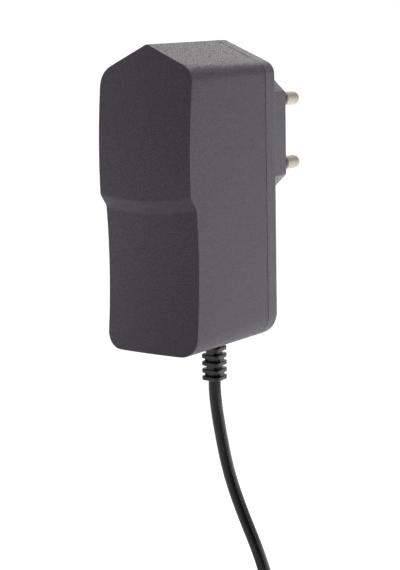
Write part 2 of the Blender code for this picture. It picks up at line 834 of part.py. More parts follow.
def relief_floor():
    """Height at which the inner flange sits, clear of the sloping floor."""
    return inner_base(RELIEF_DEPTH + RELIEF_FLANGE_WIDTH / 2) + GAP


def relief_top():
    return relief_floor() + RELIEF_FLANGE_THICKNESS + RELIEF_STUB_HEIGHT


def relief_rings():
    """Stack of level rings of points, from the stub inside down to the last rib."""
    centre = (0.0, -RELIEF_DEPTH)
    core = (RELIEF_CORE_WIDTH, RELIEF_CORE_RADIUS)
    neck = (RELIEF_NECK_WIDTH, RELIEF_NECK_RADIUS)
    full = (RELIEF_RING_WIDTH, RELIEF_RING_RADIUS)
    flange = (RELIEF_FLANGE_WIDTH, RELIEF_RING_RADIUS)
    edge = GAP / 2
    eased_full = (RELIEF_RING_WIDTH - 2 * edge, RELIEF_RING_RADIUS - edge)
    floor = relief_floor()
    stack = [
        (core, relief_top()),
        (core, floor + RELIEF_FLANGE_THICKNESS),
        (flange, floor + RELIEF_FLANGE_THICKNESS),
        (flange, floor),
        (neck, floor),
        (neck, relief_ring_centre(0) + RELIEF_RING_HEIGHT / 2),
    ]
    for index in range(RELIEF_RINGS):
        top = relief_ring_centre(index) + RELIEF_RING_HEIGHT / 2
        bottom = top - RELIEF_RING_HEIGHT
        if index:
            stack.append((core, top))
        stack += [(eased_full, top), (full, top - edge), (full, bottom + edge), (eased_full, bottom)]
        if index < RELIEF_RINGS - 1:
            stack.append((core, bottom))
    return [rounded_square(width, radius, height, centre) for (width, radius), height in stack]


def relief_webs():
    """Webs between neighbouring ribs, turned by a quarter from one gap to the next."""
    bm = bmesh.new()
    long_half = RELIEF_RING_WIDTH / 2 - RELIEF_WEB_INSET
    short_half = RELIEF_WEB / 2
    overlap = RELIEF_RING_HEIGHT / 3
    for index in range(RELIEF_RINGS - 1):
        top = relief_ring_centre(index) - RELIEF_RING_HEIGHT / 2 + overlap
        bottom = relief_ring_centre(index + 1) + RELIEF_RING_HEIGHT / 2 - overlap
        half = (short_half, long_half) if index % 2 else (long_half, short_half)
        low = (-half[0], -RELIEF_DEPTH - half[1], bottom)
        high = (half[0], -RELIEF_DEPTH + half[1], top)
        box_mesh(bm, low, high)
    return add_object("relief_webs", bm)


def make_strain_relief(materials):
    bm = bmesh.new()
    join_rings(bm, relief_rings())
    relief = add_object("strain_relief", bm, materials["relief"])
    boolean(relief, relief_webs(), "UNION")
    return smooth(relief, 40)


# Circuit board and its parts. Heights on the board are counted from its face toward +X.


class Board:
    """Collects the holes that the parts' leads need."""

    def __init__(self, materials):
        self.materials = materials
        self.holes = bmesh.new()
        self.top = board_face() + STAND_OFF + BOARD_THICKNESS
        self.bottom = board_left() - LEAD_STUB

    def leads(self, part, places, diameter=LEAD_DIAMETER, reach=None):
        """Give a part its leads, and the board a hole for each."""
        bm = bmesh.new()
        join_leads(bm, places, diameter, reach or self.top, self.bottom)
        boolean(part, add_object(part.name + "_leads", bm), "UNION")
        self.add_holes(places, diameter)

    def add_holes(self, places, diameter=LEAD_DIAMETER):
        low, high = board_left() - GAP, board_face() + GAP
        join_leads(self.holes, places, diameter + 2 * GAP, high, low)

    def make(self):
        low = (board_left(), -board_front(), board_bottom())
        high = (board_face(), -board_rear(), board_top())
        board = make_box("circuit_board", low, high, self.materials["board"])
        boolean(board, add_object("lead_holes", self.holes), "DIFFERENCE")


def pair(place, half_spacing, along="y"):
    """Two lead places about a centre."""
    centre_y, centre_z = place
    if along == "y":
        return [(centre_y - half_spacing, centre_z), (centre_y + half_spacing, centre_z)]
    return [(centre_y, centre_z - half_spacing), (centre_y, centre_z + half_spacing)]


def zone(name):
    """Centre (y, z) and size (y, z) of the part that fills a zone of the board."""
    rear, front, top, bottom = BOARD_ZONES[name]
    centre = (board_y((rear + front) / 2), board_z((top + bottom) / 2))
    size_y = board_y(rear) - board_y(front) - PART_GAP
    size_z = board_z(top) - board_z(bottom) - PART_GAP
    return centre, size_y, size_z


def make_can(board, name, height_share):
    """Electrolytic capacitor: sleeved can with a rolled groove near its base."""
    place, size_y, size_z = zone(name)
    radius = min(size_y, size_z) / 2
    height = board_room() * height_share
    groove = height * 0.12
    waist = radius - CAN_GROOVE
    profile = [
        (waist, 0.0), (radius, CAN_GROOVE), (radius, groove), (waist, groove * 1.4),
        (radius, groove * 1.8), (radius, height - CAN_GROOVE), (waist, height),
    ]
    base = (board_face() + STAND_OFF, place[0], place[1])
    can = make_turned(name, profile, base, (1, 0, 0), board.materials["can"])
    board.leads(can, pair(place, radius * LEAD_SPREAD))


def make_drum(board, name, height_share):
    """Drum choke: two flanges with the winding between them."""
    place, size_y, size_z = zone(name)
    radius = min(size_y, size_z) / 2
    height = board_room() * height_share
    flange = height * 0.15
    core = radius - DRUM_GROOVE
    profile = [(radius, 0.0), (radius, flange), (core, flange), (core, height - flange),
               (radius, height - flange), (radius, height)]
    base = (board_face() + STAND_OFF, place[0], place[1])
    drum = make_turned(name, profile, base, (1, 0, 0), board.materials["ferrite"])
    board.leads(drum, pair(place, radius * LEAD_SPREAD))


def make_axial(board, name, material):
    """Part with a lead at each end, lying along the board's height."""
    place, diameter, size_z = zone(name)
    bend = LEAD_DIAMETER * 1.5
    length = size_z - 2 * bend
    radius = diameter / 2
    edge = radius * 0.3
    centre_x = board_face() + STAND_OFF + radius
    base = (centre_x, place[0], place[1] - length / 2)
    profile = [(radius - edge, 0.0), (radius, edge), (radius, length - edge), (radius - edge, length)]
    part = make_turned(name, profile, base, (0, 0, 1), board.materials[material], 16)
    for side in (-1, 1):
        start = place[1] + side * (length / 2 - edge)
        end = place[1] + side * (length / 2 + bend)
        arm = make_box(
            name + ("_upper_arm" if side > 0 else "_lower_arm"),
            (centre_x - LEAD_DIAMETER / 2, place[0] - LEAD_DIAMETER / 2, min(start, end)),
            (centre_x + LEAD_DIAMETER / 2, place[0] + LEAD_DIAMETER / 2, max(start, end)),
        )
        boolean(part, arm, "UNION")
    foot = length / 2 + bend - LEAD_DIAMETER / 2
    board.leads(part, pair(place, foot, "z"), LEAD_DIAMETER * 0.9, centre_x + LEAD_DIAMETER * 0.2)


def make_package(board, name, height_share):
    """Moulded package with two legs at each of its long sides."""
    place, size_y, full_z = zone(name)
    leg = LEAD_DIAMETER * 0.8
    size_z = full_z - 2 * leg
    height = board_room() * height_share
    low_x = board_face() + STAND_OFF
    low = (low_x, place[0] - size_y / 2, place[1] - size_z / 2)
    high = (low_x + height, place[0] + size_y / 2, place[1] + size_z / 2)
    package = make_box(name, low, high, board.materials["epoxy"], bevel=0.0003)
    bm = bmesh.new()
    places = []
    shoulder = low_x + height / 2
    for centre_y in (place[0] - size_y * LEG_SPREAD / 2, place[0] + size_y * LEG_SPREAD / 2):
        for side in (-1, 1):
            outer = place[1] + side * (size_z / 2 + leg)
            inner = place[1] + side * (size_z / 2 - leg)
            box_mesh(
                bm,
                (shoulder - leg / 2, centre_y - leg / 2, min(outer, inner)),
                (shoulder + leg / 2, centre_y + leg / 2, max(outer, inner)),
            )
            places.append((centre_y, outer - side * leg / 2))
    boolean(package, add_object(name + "_shoulders", bm), "UNION")
    board.leads(package, places, leg * 0.9, shoulder + leg * 0.2)


def make_disc(board):
    """Disc capacitor standing on edge across the isolation gap."""
    place, thickness, diameter = zone("safety_capacitor")
    radius = diameter / 2
    centre_x = board_face() + STAND_OFF + radius + LEAD_DIAMETER
    base = (centre_x, place[0] - thickness / 2, place[1])
    profile = [
        (radius * 0.55, 0.0), (radius * 0.92, thickness * 0.22), (radius, thickness * 0.5),
        (radius * 0.92, thickness * 0.78), (radius * 0.55, thickness),
    ]
    disc = make_turned("safety_capacitor", profile, base, (0, 1, 0), board.materials["disc"])
    board.leads(disc, pair(place, radius * 0.7, "z"), LEAD_DIAMETER, centre_x - radius * 0.4)


def make_controller(board):
    """Small surface package on the board's other face, with short feet."""
    (centre_y, centre_z), full_y, size_z = zone("controller")
    foot = 0.00045
    size_y = full_y - 4 * foot
    height = BOARD_OFF_WALL * CONTROLLER_HEIGHT
    high_x = board_left() - GAP
    low = (high_x - height, centre_y - size_y / 2, centre_z - size_z / 2)
    high = (high_x, centre_y + size_y / 2, centre_z + size_z / 2)
    body = make_box("controller", low, high, board.materials["epoxy"], bevel=0.0002)
    bm = bmesh.new()
    for index in range(4):
        across = centre_z + (index - 1.5) * size_z / 4
        for side in (-1, 1):
            inner = centre_y + side * (size_y / 2 - foot)
            outer = centre_y + side * (size_y / 2 + 2 * foot)
            low = (high_x - foot, min(inner, outer), across - foot / 2)
            high = (high_x - foot / 3, max(inner, outer), across + foot / 2)
            box_mesh(bm, low, high)
    boolean(body, add_object("controller_feet", bm), "UNION")


# Transformer, lying with its winding axis along Y


def transformer_centre():
    (centre_y, centre_z), _, _ = zone("transformer")
    return Vector((board_face() + board_room() * CORE_MIDDLE_HEIGHT, centre_y, centre_z))


def core_sizes():
    """Half length, half width and half thickness of the closed core."""
    _, length, width = zone("transformer")
    return length / 2, width / 2, board_room() * CORE_THICKNESS / 2


def window_sizes():
    """Half length of the core's windows, and their outer distance from the middle."""
    half_length, half_width, _ = core_sizes()
    return half_length - CORE_LEG, half_width - CORE_LEG


def make_core_half(name, side, material):
    """E-shaped half: a back and three legs that face the other half."""
    centre = transformer_centre()
    half_length, half_width, half_thickness = core_sizes()
    back, window = window_sizes()
    middle = CORE_CENTRE_LEG / 2
    face = GAP / 2
    outline = [
        (half_length, -half_width), (half_length, half_width), (face, half_width), (face, window),
        (back, window), (back, middle), (face, middle), (face, -middle),
        (back, -middle), (back, -window), (face, -window), (face, -half_width),
    ]
    bm = bmesh.new()
    rings = [
        [centre + Vector((across, -side * along, height)) for along, height in outline]
        for across in (-half_thickness, half_thickness)
    ]
    join_rings(bm, rings)
    return add_object(name, bm, material)


def rounded_loop(centre, half_x, half_z, radius, along):
    """Ring of points of a rounded rectangle about the transformer's axis."""
    ring = []
    for corner in range(4):
        middle = math.pi / 4 + corner * math.pi / 2
        corner_x = (half_x - radius) * math.copysign(1, math.cos(middle))
        corner_z = (half_z - radius) * math.copysign(1, math.sin(middle))
        for step in range(4):
            angle = corner * math.pi / 2 + step / 3 * math.pi / 2
            offset = Vector((corner_x + radius * math.cos(angle), along, corner_z + radius * math.sin(angle)))
            ring.append(centre + offset)
    return ring


def bobbin_halves():
    """Inner and outer half sizes (x, z) of the bobbin's tube round the centre leg."""
    inner = (core_sizes()[2] + GAP, CORE_CENTRE_LEG / 2 + GAP)
    outer = (inner[0] + BOBBIN_WALL, inner[1] + BOBBIN_WALL)
    return inner, outer


def winding_build():
    """Thickness of the winding that the windows and the height above the board leave."""
    _, outer = bobbin_halves()
    in_window = window_sizes()[1] - 2 * GAP - outer[1]
    over_board = board_room() * CORE_MIDDLE_HEIGHT - STAND_OFF - BOBBIN_LIP - outer[0]
    return min(in_window, over_board)


def make_bobbin(board):
    """Bobbin: tube with two flanges and two pin rails under the core."""
    centre = transformer_centre()
    inner, outer = bobbin_halves()
    half = window_sizes()[0] - GAP
    cheek = half - BOBBIN_WALL
    flange_z = window_sizes()[1] - GAP
    flange_x = outer[0] + winding_build() + BOBBIN_LIP
    bm = bmesh.new()
    rings = []
    for along, size in (
        (-half, inner), (-half, (flange_x, flange_z)), (-cheek, (flange_x, flange_z)), (-cheek, outer),
        (cheek, outer), (cheek, (flange_x, flange_z)), (half, (flange_x, flange_z)), (half, inner),
    ):
        rings.append(rounded_loop(centre, size[0], size[1], 0.0003, along))
    rings.append(rings[0])
    join_rings(bm, rings, False, False)
    bobbin = add_object("transformer_bobbin", bm, board.materials["bobbin"])
    rail_top = centre.x - core_sizes()[2] - GAP
    rail_low = board_face() + STAND_OFF
    places = []
    for side in (-1, 1):
        inner_end = centre.y + side * (half - BOBBIN_WALL)
        outer_end = centre.y + side * (half + BOBBIN_RAIL_DEPTH - BOBBIN_WALL)
        low = (rail_low, min(inner_end, outer_end), centre.z - flange_z)
        high = (rail_top, max(inner_end, outer_end), centre.z + flange_z)
        boolean(bobbin, make_box("bobbin_rail_%d" % (side + 1), low, high), "UNION")
        lead_y = centre.y + side * (half + BOBBIN_RAIL_DEPTH / 2 - BOBBIN_WALL / 2)
        places += [(lead_y, centre.z + (index - 1.5) * flange_z / 2) for index in range(4)]
    board.leads(bobbin, places)


def make_winding(board):
    """Taped winding round the bobbin's tube."""
    centre = transformer_centre()
    _, outer = bobbin_halves()
    half = window_sizes()[0] - GAP - BOBBIN_WALL - GAP
    inner = (outer[0] + GAP, outer[1] + GAP)
    full = (outer[0] + winding_build(), outer[1] + winding_build())
    bm = bmesh.new()
    rings = [
        rounded_loop(centre, inner[0], inner[1], 0.0003, -half),
        rounded_loop(centre, full[0], full[1], 0.0011, -half),
        rounded_loop(centre, full[0], full[1], 0.0011, half),
        rounded_loop(centre, inner[0], inner[1], 0.0003, half),
    ]
    rings.append(rings[0])
    join_rings(bm, rings, False, False)
    return smooth(add_object("transformer_winding", bm, board.materials["tape"]), 40)


def make_board_parts(board):
    make_can(board, "bulk_capacitor_1", CAN_HEIGHT)
    make_can(board, "bulk_capacitor_2", CAN_HEIGHT)
    make_drum(board, "filter_inductor", DRUM_HEIGHT)
    make_axial(board, "fuse_resistor", "resistor")
    make_package(board, "bridge_rectifier", RECTIFIER_HEIGHT)
    make_controller(board)
    make_core_half("transformer_core_front", 1, board.materials["ferrite"])
    make_core_half("transformer_core_rear", -1, board.materials["ferrite"])
    make_bobbin(board)
    make_winding(board)
    make_disc(board)
    make_package(board, "optocoupler", OPTOCOUPLER_HEIGHT)
    make_axial(board, "output_diode", "epoxy")
    make_can(board, "output_capacitor_1", OUTPUT_CAN_HEIGHT)
    make_can(board, "output_capacitor_2", OUTPUT_CAN_HEIGHT)
    make_drum(board, "output_inductor", OUTPUT_DRUM_HEIGHT)


# Curves: wires and cord


def smooth_points(controls, spacing):
    """Points at even spacing on a smooth curve through the control points."""
    controls = [Vector(point) for point in controls]
    ends = [2 * controls[0] - controls[1]] + controls + [2 * controls[-1] - controls[-2]]
    fine = []
    for index in range(1, len(ends) - 2):
        before, start, end, after = ends[index - 1:index + 3]
        for step in range(24):
            t = step / 24
            fine.append(
                0.5 * (
                    2 * start + (end - before) * t + (2 * before - 5 * start + 4 * end - after) * t**2
                    + (3 * start - before - 3 * end + after) * t**3
                )
            )
    fine.append(controls[-1])
    lengths = [0.0]
    for first, second in zip(fine, fine[1:]):
        lengths.append(lengths[-1] + (second - first).length)
    count = max(2, round(lengths[-1] / spacing))
    points = []
    segment = 0
    for step in range(count + 1):
        target = lengths[-1] * step / count
        while segment < len(fine) - 2 and lengths[segment + 1] < target:
            segment += 1
        share = (target - lengths[segment]) / (lengths[segment + 1] - lengths[segment])
        points.append(fine[segment].lerp(fine[segment + 1], share))
    return points


def make_tube_curve(name, controls, diameter, spacing, material):
    """Round tube with filled ends along a smooth route."""
    curve = bpy.data.curves.new(name, "CURVE")
    curve.dimensions = "3D"
    curve.bevel_depth = diameter / 2
    curve.bevel_resolution = 2
    curve.use_fill_caps = True
    points = smooth_points(controls, spacing)
    spline = curve.splines.new("POLY")
    spline.points.add(len(points) - 1)
    for target, point in zip(spline.points, points):
        target.co = (*point, 1.0)
    curve.materials.append(material)
    thing = bpy.data.objects.new(name, curve)
    bpy.context.collection.objects.link(thing)
    return thing


def make_inner_wires(board):
    """Wires from the pins' tails to the board, and from the board to the strain relief."""
    pin_end = -(tower_end() + GAP + PIN_HEAD_THICKNESS + PIN_TAIL_LENGTH + GAP)
    landing = board_face() + GAP
    spacing = 1.2 * WIRE_DIAMETER
    for name, colour in (("line", "brown"), ("neutral", "blue")):
        height = pin_heights()[name]
        place = WIRE_LANDINGS[name]
        target_y, target_z = board_y(place[0]), board_z(place[1])
        rise = target_z - height
        controls = [
            (0, pin_end, height),
            (0, pin_end - 0.0015, height),
            (0, pin_end - 0.0035, height + 0.12 * rise),
            (-0.0003, -(BOSS_DEPTH + 0.0060), height + 0.6 * rise),
            (-0.0030, target_y + 0.0010, height + 0.9 * rise),
            (landing + 0.0022, target_y, target_z),
            (landing + 0.0011, target_y, target_z),
            (landing, target_y, target_z),
        ]
        make_tube_curve("input_wire_" + name, controls, WIRE_DIAMETER, spacing, board.materials[colour])
    start_z = relief_top() + GAP
    for name, colour, side in (("positive", "red", -1), ("negative", "black", 1)):
        offset = side * (WIRE_DIAMETER / 2 + GAP)
        target = (landing, -RELIEF_DEPTH - 0.0040 + 2.2 * offset, board_z(OUTPUT_WIRE_PLACE))
        controls = [
            (0, -RELIEF_DEPTH + offset, start_z),
            (0, -RELIEF_DEPTH + offset, start_z + 0.0010),
            (-0.0003, -RELIEF_DEPTH - 0.0002 + offset, start_z + 0.0018),
            (-0.0025, -RELIEF_DEPTH - 0.0018 + 1.6 * offset, start_z + 0.0034),
            (landing + 0.0022, target[1], target[2]),
            (landing + 0.0011, target[1], target[2]),
            target,
        ]
        make_tube_curve("output_wire_" + name, controls, WIRE_DIAMETER, spacing, board.materials[colour])


# Cord, coil, tie and barrel plug


def cord_start():
    return Vector((0, -RELIEF_DEPTH, relief_end() - GAP))


def cord_route():
    """The cord's centre line, chosen by hand: straight out, then down and gently to one side."""
    start = cord_start()
    drops = [
        (0.0000, 0.0000), (0.0000, 0.0030), (0.0003, 0.0066), (0.0008, 0.0102), (0.0014, 0.0138),
        (0.0021, 0.0174), (0.0031, 0.0222), (0.0045, 0.0273), (0.0063, 0.0324), (0.0083, 0.0372),
        (0.0101, 0.0412), (0.0123, 0.0460), (0.0144, 0.0512), (0.0161, 0.0568), (0.0172, 0.0628),
        (0.0178, 0.0690), (0.0180, 0.0760),
    ]
    return [start + Vector((across, 0, -drop)) for across, drop in drops]


def coil_section():
    """Half thickness across the turns, and half width along the coil's axis."""
    return COIL_LAYERS * CORD_DIAMETER / 2 + GAP / 2, COIL_COLUMNS * CORD_DIAMETER / 2 + GAP / 2


def coil_centre():
    """The cord enters the outermost turn where the ring's side runs straight down."""
    entry = cord_route()[-1]
    outermost = COIL_DIAMETER / 2 + (COIL_LAYERS - 1) / 2 * CORD_DIAMETER
    rearmost = (COIL_COLUMNS - 1) / 2 * CORD_DIAMETER
    return Vector((entry.x - outermost, entry.y - rearmost, entry.z - coil_approach()))


def coil_approach():
    """Height above the coil's centre at which an incoming turn clears the ring."""
    outermost = COIL_DIAMETER / 2 + (COIL_LAYERS - 1) / 2 * CORD_DIAMETER
    clear = COIL_DIAMETER / 2 + coil_section()[0] + GAP
    return math.sqrt(clear**2 - (outermost - CORD_DIAMETER / 2) ** 2)


def make_coil(materials):
    """Turned ring of the tied coil's outer shape, axis along Y."""
    thick, wide = coil_section()
    radius = COIL_DIAMETER / 2
    corner = CORD_DIAMETER / 2
    profile = []
    for corner_index in range(4):
        middle = math.pi / 4 + corner_index * math.pi / 2
        corner_r = (thick - corner) * math.copysign(1, math.cos(middle))
        corner_y = (wide - corner) * math.copysign(1, math.sin(middle))
        for step in range(4):
            angle = corner_index * math.pi / 2 + step / 3 * math.pi / 2
            out = radius + corner_r + corner * math.cos(angle)
            profile.append((out, corner_y + corner * math.sin(angle)))
    profile.append(profile[0])
    bm = bmesh.new()
    join_rings(bm, turned_rings(profile, coil_centre(), (0, 1, 0), 32), False, False)
    return smooth(add_object("cord_coil", bm, materials["cord"]), 50)


def make_tie(materials):
    """Band round the coil at the side away from the cord."""
    thick, wide = coil_section()
    centre = coil_centre() + Vector((-COIL_DIAMETER / 2, 0, 0))
    corner = CORD_DIAMETER / 2
    bm = bmesh.new()
    rings = []
    bow = COIL_DIAMETER / 2 + thick
    sagitta = bow - math.sqrt(bow**2 - (TIE_WIDTH / 2) ** 2)
    for grow, height in (
        (0, -TIE_WIDTH / 2), (TIE_THICKNESS, -TIE_WIDTH / 2), (TIE_THICKNESS, TIE_WIDTH / 2),
        (0, TIE_WIDTH / 2), (0, -TIE_WIDTH / 2),
    ):
        ring = []
        half_x, half_y = thick + sagitta + GAP + grow, wide + GAP + grow
        radius = corner + grow
        for corner_index in range(4):
            middle = math.pi / 4 + corner_index * math.pi / 2
            corner_x = (half_x - radius) * math.copysign(1, math.cos(middle))
            corner_y = (half_y - radius) * math.copysign(1, math.sin(middle))
            for step in range(4):
                angle = corner_index * math.pi / 2 + step / 3 * math.pi / 2
                across = corner_x + radius * math.cos(angle)
                along = corner_y + radius * math.sin(angle)
                ring.append(centre + Vector((across, along, height)))
        rings.append(ring)
    join_rings(bm, rings, False, False)
    return smooth(add_object("cord_tie", bm, materials["tie"]), 40)


def tail_start():
    """Where the last turn leaves the ring, straight down and in the front column."""
    centre = coil_centre()
    outermost = COIL_DIAMETER / 2 + (COIL_LAYERS - 1) / 2 * CORD_DIAMETER
    foremost = (COIL_COLUMNS - 1) / 2 * CORD_DIAMETER
    return centre + Vector((outermost, -foremost, -coil_approach()))


def plug_top():
    """Where the cord's tail meets the barrel plug's grip."""
    return tail_start() + Vector((0.0006, 0, -COIL_FREE_TAIL))


def make_tail(materials):
    start, end = tail_start(), plug_top() + Vector((0, 0, GAP))
    controls = [start + (end - start) * share for share in (0, 0.33, 0.67, 1)]
    controls[1].x = start.x
    controls[2].x = end.x
    make_tube_curve("cord_tail", controls, CORD_DIAMETER, 2 * CORD_DIAMETER, materials["cord"])


def grip_profile():
    """Radius and distance below the cord's end: ribbed tail, then the thick grip."""
    core = CORD_DIAMETER / 2 + 2 * GAP
    profile = [(core, 0.0)]
    pitch = GRIP_TAIL_LENGTH / GRIP_RIBS
    for rib in range(GRIP_RIBS):
        top = rib * pitch + pitch * 0.35
        radius = core + (GRIP_TAIL_DIAMETER / 2 - core) * (0.6 + 0.4 * rib / (GRIP_RIBS - 1))
        profile += [
            (core, top), (radius, top + pitch * 0.1), (radius, top + pitch * 0.55), (core, top + pitch * 0.65)
        ]
    full = GRIP_DIAMETER / 2
    tail = GRIP_TAIL_LENGTH
    profile += [
        (GRIP_TAIL_DIAMETER / 2, tail + 0.0004), (full - 0.0008, tail + 0.0022), (full, tail + 0.0036),
        (full, tail + GRIP_LENGTH - 0.0006), (full - 0.0006, tail + GRIP_LENGTH),
    ]
    return profile


def make_barrel_plug(materials):
    """Barrel plug: grip, outer contact, insulating ring and inner contact tube."""
    down = (0, 0, -1)
    top = plug_top()
    shoulder = GRIP_TAIL_LENGTH + GRIP_LENGTH
    seat = 0.0020
    grip = make_turned("dc_plug_grip", grip_profile(), top, down, materials["relief"], 16)
    face = top + Vector((0, 0, -shoulder))
    socket = make_cutter(
        "grip_socket", BARREL_DIAMETER + 2 * GAP, face + Vector((0, 0, seat)), face - Vector((0, 0, seat))
    )
    boolean(grip, socket, "DIFFERENCE")
    seat_face = face + Vector((0, 0, seat - GAP))
    outer = BARREL_DIAMETER / 2
    inner = outer - BARREL_WALL
    nickel = materials["nickel"]
    length = seat - GAP + BARREL_LENGTH
    make_tube("dc_plug_barrel", outer, inner, length, seat_face, down, nickel)
    contact_inner = CONTACT_BORE / 2
    contact_outer = contact_inner + CONTACT_WALL
    length -= CONTACT_RECESS
    ring_outer, ring_inner = inner - GAP, contact_outer + GAP
    make_tube("dc_plug_insulator", ring_outer, ring_inner, length, seat_face, down, materials["black"])
    make_tube("dc_plug_contact", contact_outer, contact_inner, length - GAP, seat_face, down, nickel)


def make_cord(materials):
    make_tube_curve("dc_cord", cord_route(), CORD_DIAMETER, 2 * CORD_DIAMETER, materials["cord"])
    make_coil(materials)
    make_tie(materials)
    make_tail(materials)
    make_barrel_plug(materials)


def main():
    clear_scene()
    materials = make_materials()
    make_front_shell(materials)
    make_back_cover(materials)
    make_pins(materials)
    make_strain_relief(materials)
    board = Board(materials)
    make_board_parts(board)
    make_inner_wires(board)
    board.make()
    make_cord(materials)


main()
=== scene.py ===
"""Looks of the power adapter: fine housing surfaces, pins, strain relief, cord and studio.

Units are metres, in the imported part's frame: the origin is the centre of the plug's end face,
+Y runs along the pins, +Z is up. Depths are counted from the origin toward -Y.
"""

import math

import bmesh
import bpy
from mathutils import Matrix, Vector


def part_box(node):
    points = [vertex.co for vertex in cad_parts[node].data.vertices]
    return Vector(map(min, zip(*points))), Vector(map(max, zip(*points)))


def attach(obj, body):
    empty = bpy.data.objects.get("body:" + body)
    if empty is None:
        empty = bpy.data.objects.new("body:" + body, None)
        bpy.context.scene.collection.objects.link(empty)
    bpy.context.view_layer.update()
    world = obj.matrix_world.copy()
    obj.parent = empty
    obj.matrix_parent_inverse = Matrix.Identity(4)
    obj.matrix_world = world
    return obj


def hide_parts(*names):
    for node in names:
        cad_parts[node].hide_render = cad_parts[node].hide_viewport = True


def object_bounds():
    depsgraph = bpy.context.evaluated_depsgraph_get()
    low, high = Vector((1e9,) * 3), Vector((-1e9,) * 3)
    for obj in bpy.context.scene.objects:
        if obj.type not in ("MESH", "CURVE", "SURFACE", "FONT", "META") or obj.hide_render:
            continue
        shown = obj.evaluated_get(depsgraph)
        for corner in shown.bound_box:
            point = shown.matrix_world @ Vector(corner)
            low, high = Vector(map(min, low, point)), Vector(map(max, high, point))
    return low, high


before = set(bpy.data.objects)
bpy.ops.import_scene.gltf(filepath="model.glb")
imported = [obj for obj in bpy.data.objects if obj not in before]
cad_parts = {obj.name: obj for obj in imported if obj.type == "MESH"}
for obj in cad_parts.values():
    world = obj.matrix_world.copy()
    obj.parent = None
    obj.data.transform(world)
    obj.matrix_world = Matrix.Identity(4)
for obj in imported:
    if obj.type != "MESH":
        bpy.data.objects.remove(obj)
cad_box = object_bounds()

GAP = 0.0003  # between neighbouring pieces

# Camera, solved from the photograph
FRAME_HEIGHT = 570
FOCAL_PIXELS = 1143.04
SENSOR_LONG_SIDE = 36.0
CAMERA_PLACE = (0.166111, -0.289942, 0.018002)
CAMERA_AZIMUTH = 33.198
CAMERA_PITCH = 10.582
CAMERA_ROLL = -1.344
CAMERA_CLIP = 0.01

# Housing section at its rear face, and how much smaller it is at the front
BOSS_DEPTH = 0.0205
HOUSING_WIDTH = 0.0305
BASE_DROP = 0.0542
EAVE_RISE = 0.0193
PEAK_RISE = 0.0264
WIDTH_TAPER = 0.0027
BASE_TAPER = 0.0017
EAVE_TAPER = 0.0009
PEAK_TAPER = 0.0015
BASE_CORNER_RADIUS = 0.0067
BASE_RADIUS_TAPER = 0.0021
EAVE_CORNER_RADIUS = 0.0037
EAVE_RADIUS_GAIN = 0.0015
PEAK_RADIUS = 0.0010
LEAST_RADIUS = 0.0002
WALL = 0.0020
SEAM_CHAMFER = 0.00021
SEAM_GAP = 0.0001
EDGE_RADIUS = 0.00015
COVER_DEPTH = 0.0050
COVER_EDGE_RADIUS = 0.0007
COVER_PLATE = 0.0024

# Front face
UPPER_DEPTH = 0.03999
UPPER_BULGE_RADIUS = 0.158
UPPER_BULGE_HEIGHT = -0.0080
UPPER_CROWN = 0.0004
LOWER_DEPTH = 0.0371
LOWER_HOLLOW_RADIUS = 0.160
LOWER_HOLLOW_HEIGHT = -0.0270
LOWER_CROWN = 0.0009
STEP_TOP = -0.0118
STEP_HEIGHT = 0.0038
STEP_ROUNDING = 0.2
STEP_SAG = 0.0014
STEP_SAG_REACH = 0.0120

# Plug boss and pins
BOSS_WIDTH = 0.0143
BOSS_HEIGHT = 0.0350
BOSS_FLAT_HEIGHT = 0.0234
BOSS_END_WIDTH = 0.0025
BOSS_DRAFT = 0.0003
BOSS_EDGE = 0.0004
PIN_DIAMETER = 0.0040
PIN_NECK_DIAMETER = 0.0024
PIN_SHOULDER = 0.0003
PIN_LENGTH = 0.0190
PIN_TIP_START = 1.2  # pin radii between the last straight ring and the end
PIN_TIP_FLAT = 0.06  # share of the radius that stays flat at the end
SLEEVE_DIAMETER = 0.0039
SLEEVE_LENGTH = 0.0105
PIN_SIDES = ("line", "neutral")

# Strain relief
RELIEF_RING_WIDTH = 0.0057
RELIEF_RING_RADIUS = 0.0012
RELIEF_RING_HEIGHT = 0.0012
RELIEF_RING_PITCH = 0.00207
RELIEF_RING_EDGE = 0.0003
RELIEF_RINGS = 6
RELIEF_CORE_WIDTH = 0.0038
RELIEF_CORE_RADIUS = 0.0017
RELIEF_WEB = 0.0020
RELIEF_WEB_INSET = 0.0003
RELIEF_NECK_WIDTH = 0.0042
RELIEF_NECK_RADIUS = 0.0005

# Cord and its coil
CORD_DIAMETER = 0.0036
CORD_ROUTE = [
    (0.0000, 0.0000), (0.0000, 0.0030), (0.0003, 0.0066), (0.0008, 0.0102), (0.0014, 0.0138),
    (0.0021, 0.0174), (0.0031, 0.0222), (0.0045, 0.0273), (0.0063, 0.0324), (0.0083, 0.0372),
    (0.0101, 0.0412), (0.0123, 0.0460), (0.0144, 0.0512), (0.0161, 0.0568), (0.0172, 0.0628),
    (0.0178, 0.0690), (0.0180, 0.0760),
]
CORD_INTO_RELIEF = 0.0006
CORD_INTO_PLUG = 0.0010
COIL_LAYERS = 3
COIL_COLUMNS = 4
COIL_POINTS_PER_TURN = 36
COIL_SHIFT_ANGLE = math.radians(120)
COIL_SHIFT_BACK = math.radians(40)
TAIL_BEND_PLACE = 0.55  # share of the way from the coil to the plug
TAIL_BEND_OUT = 0.25  # share of the distance across between the two
TIE_EDGE = 0.0002

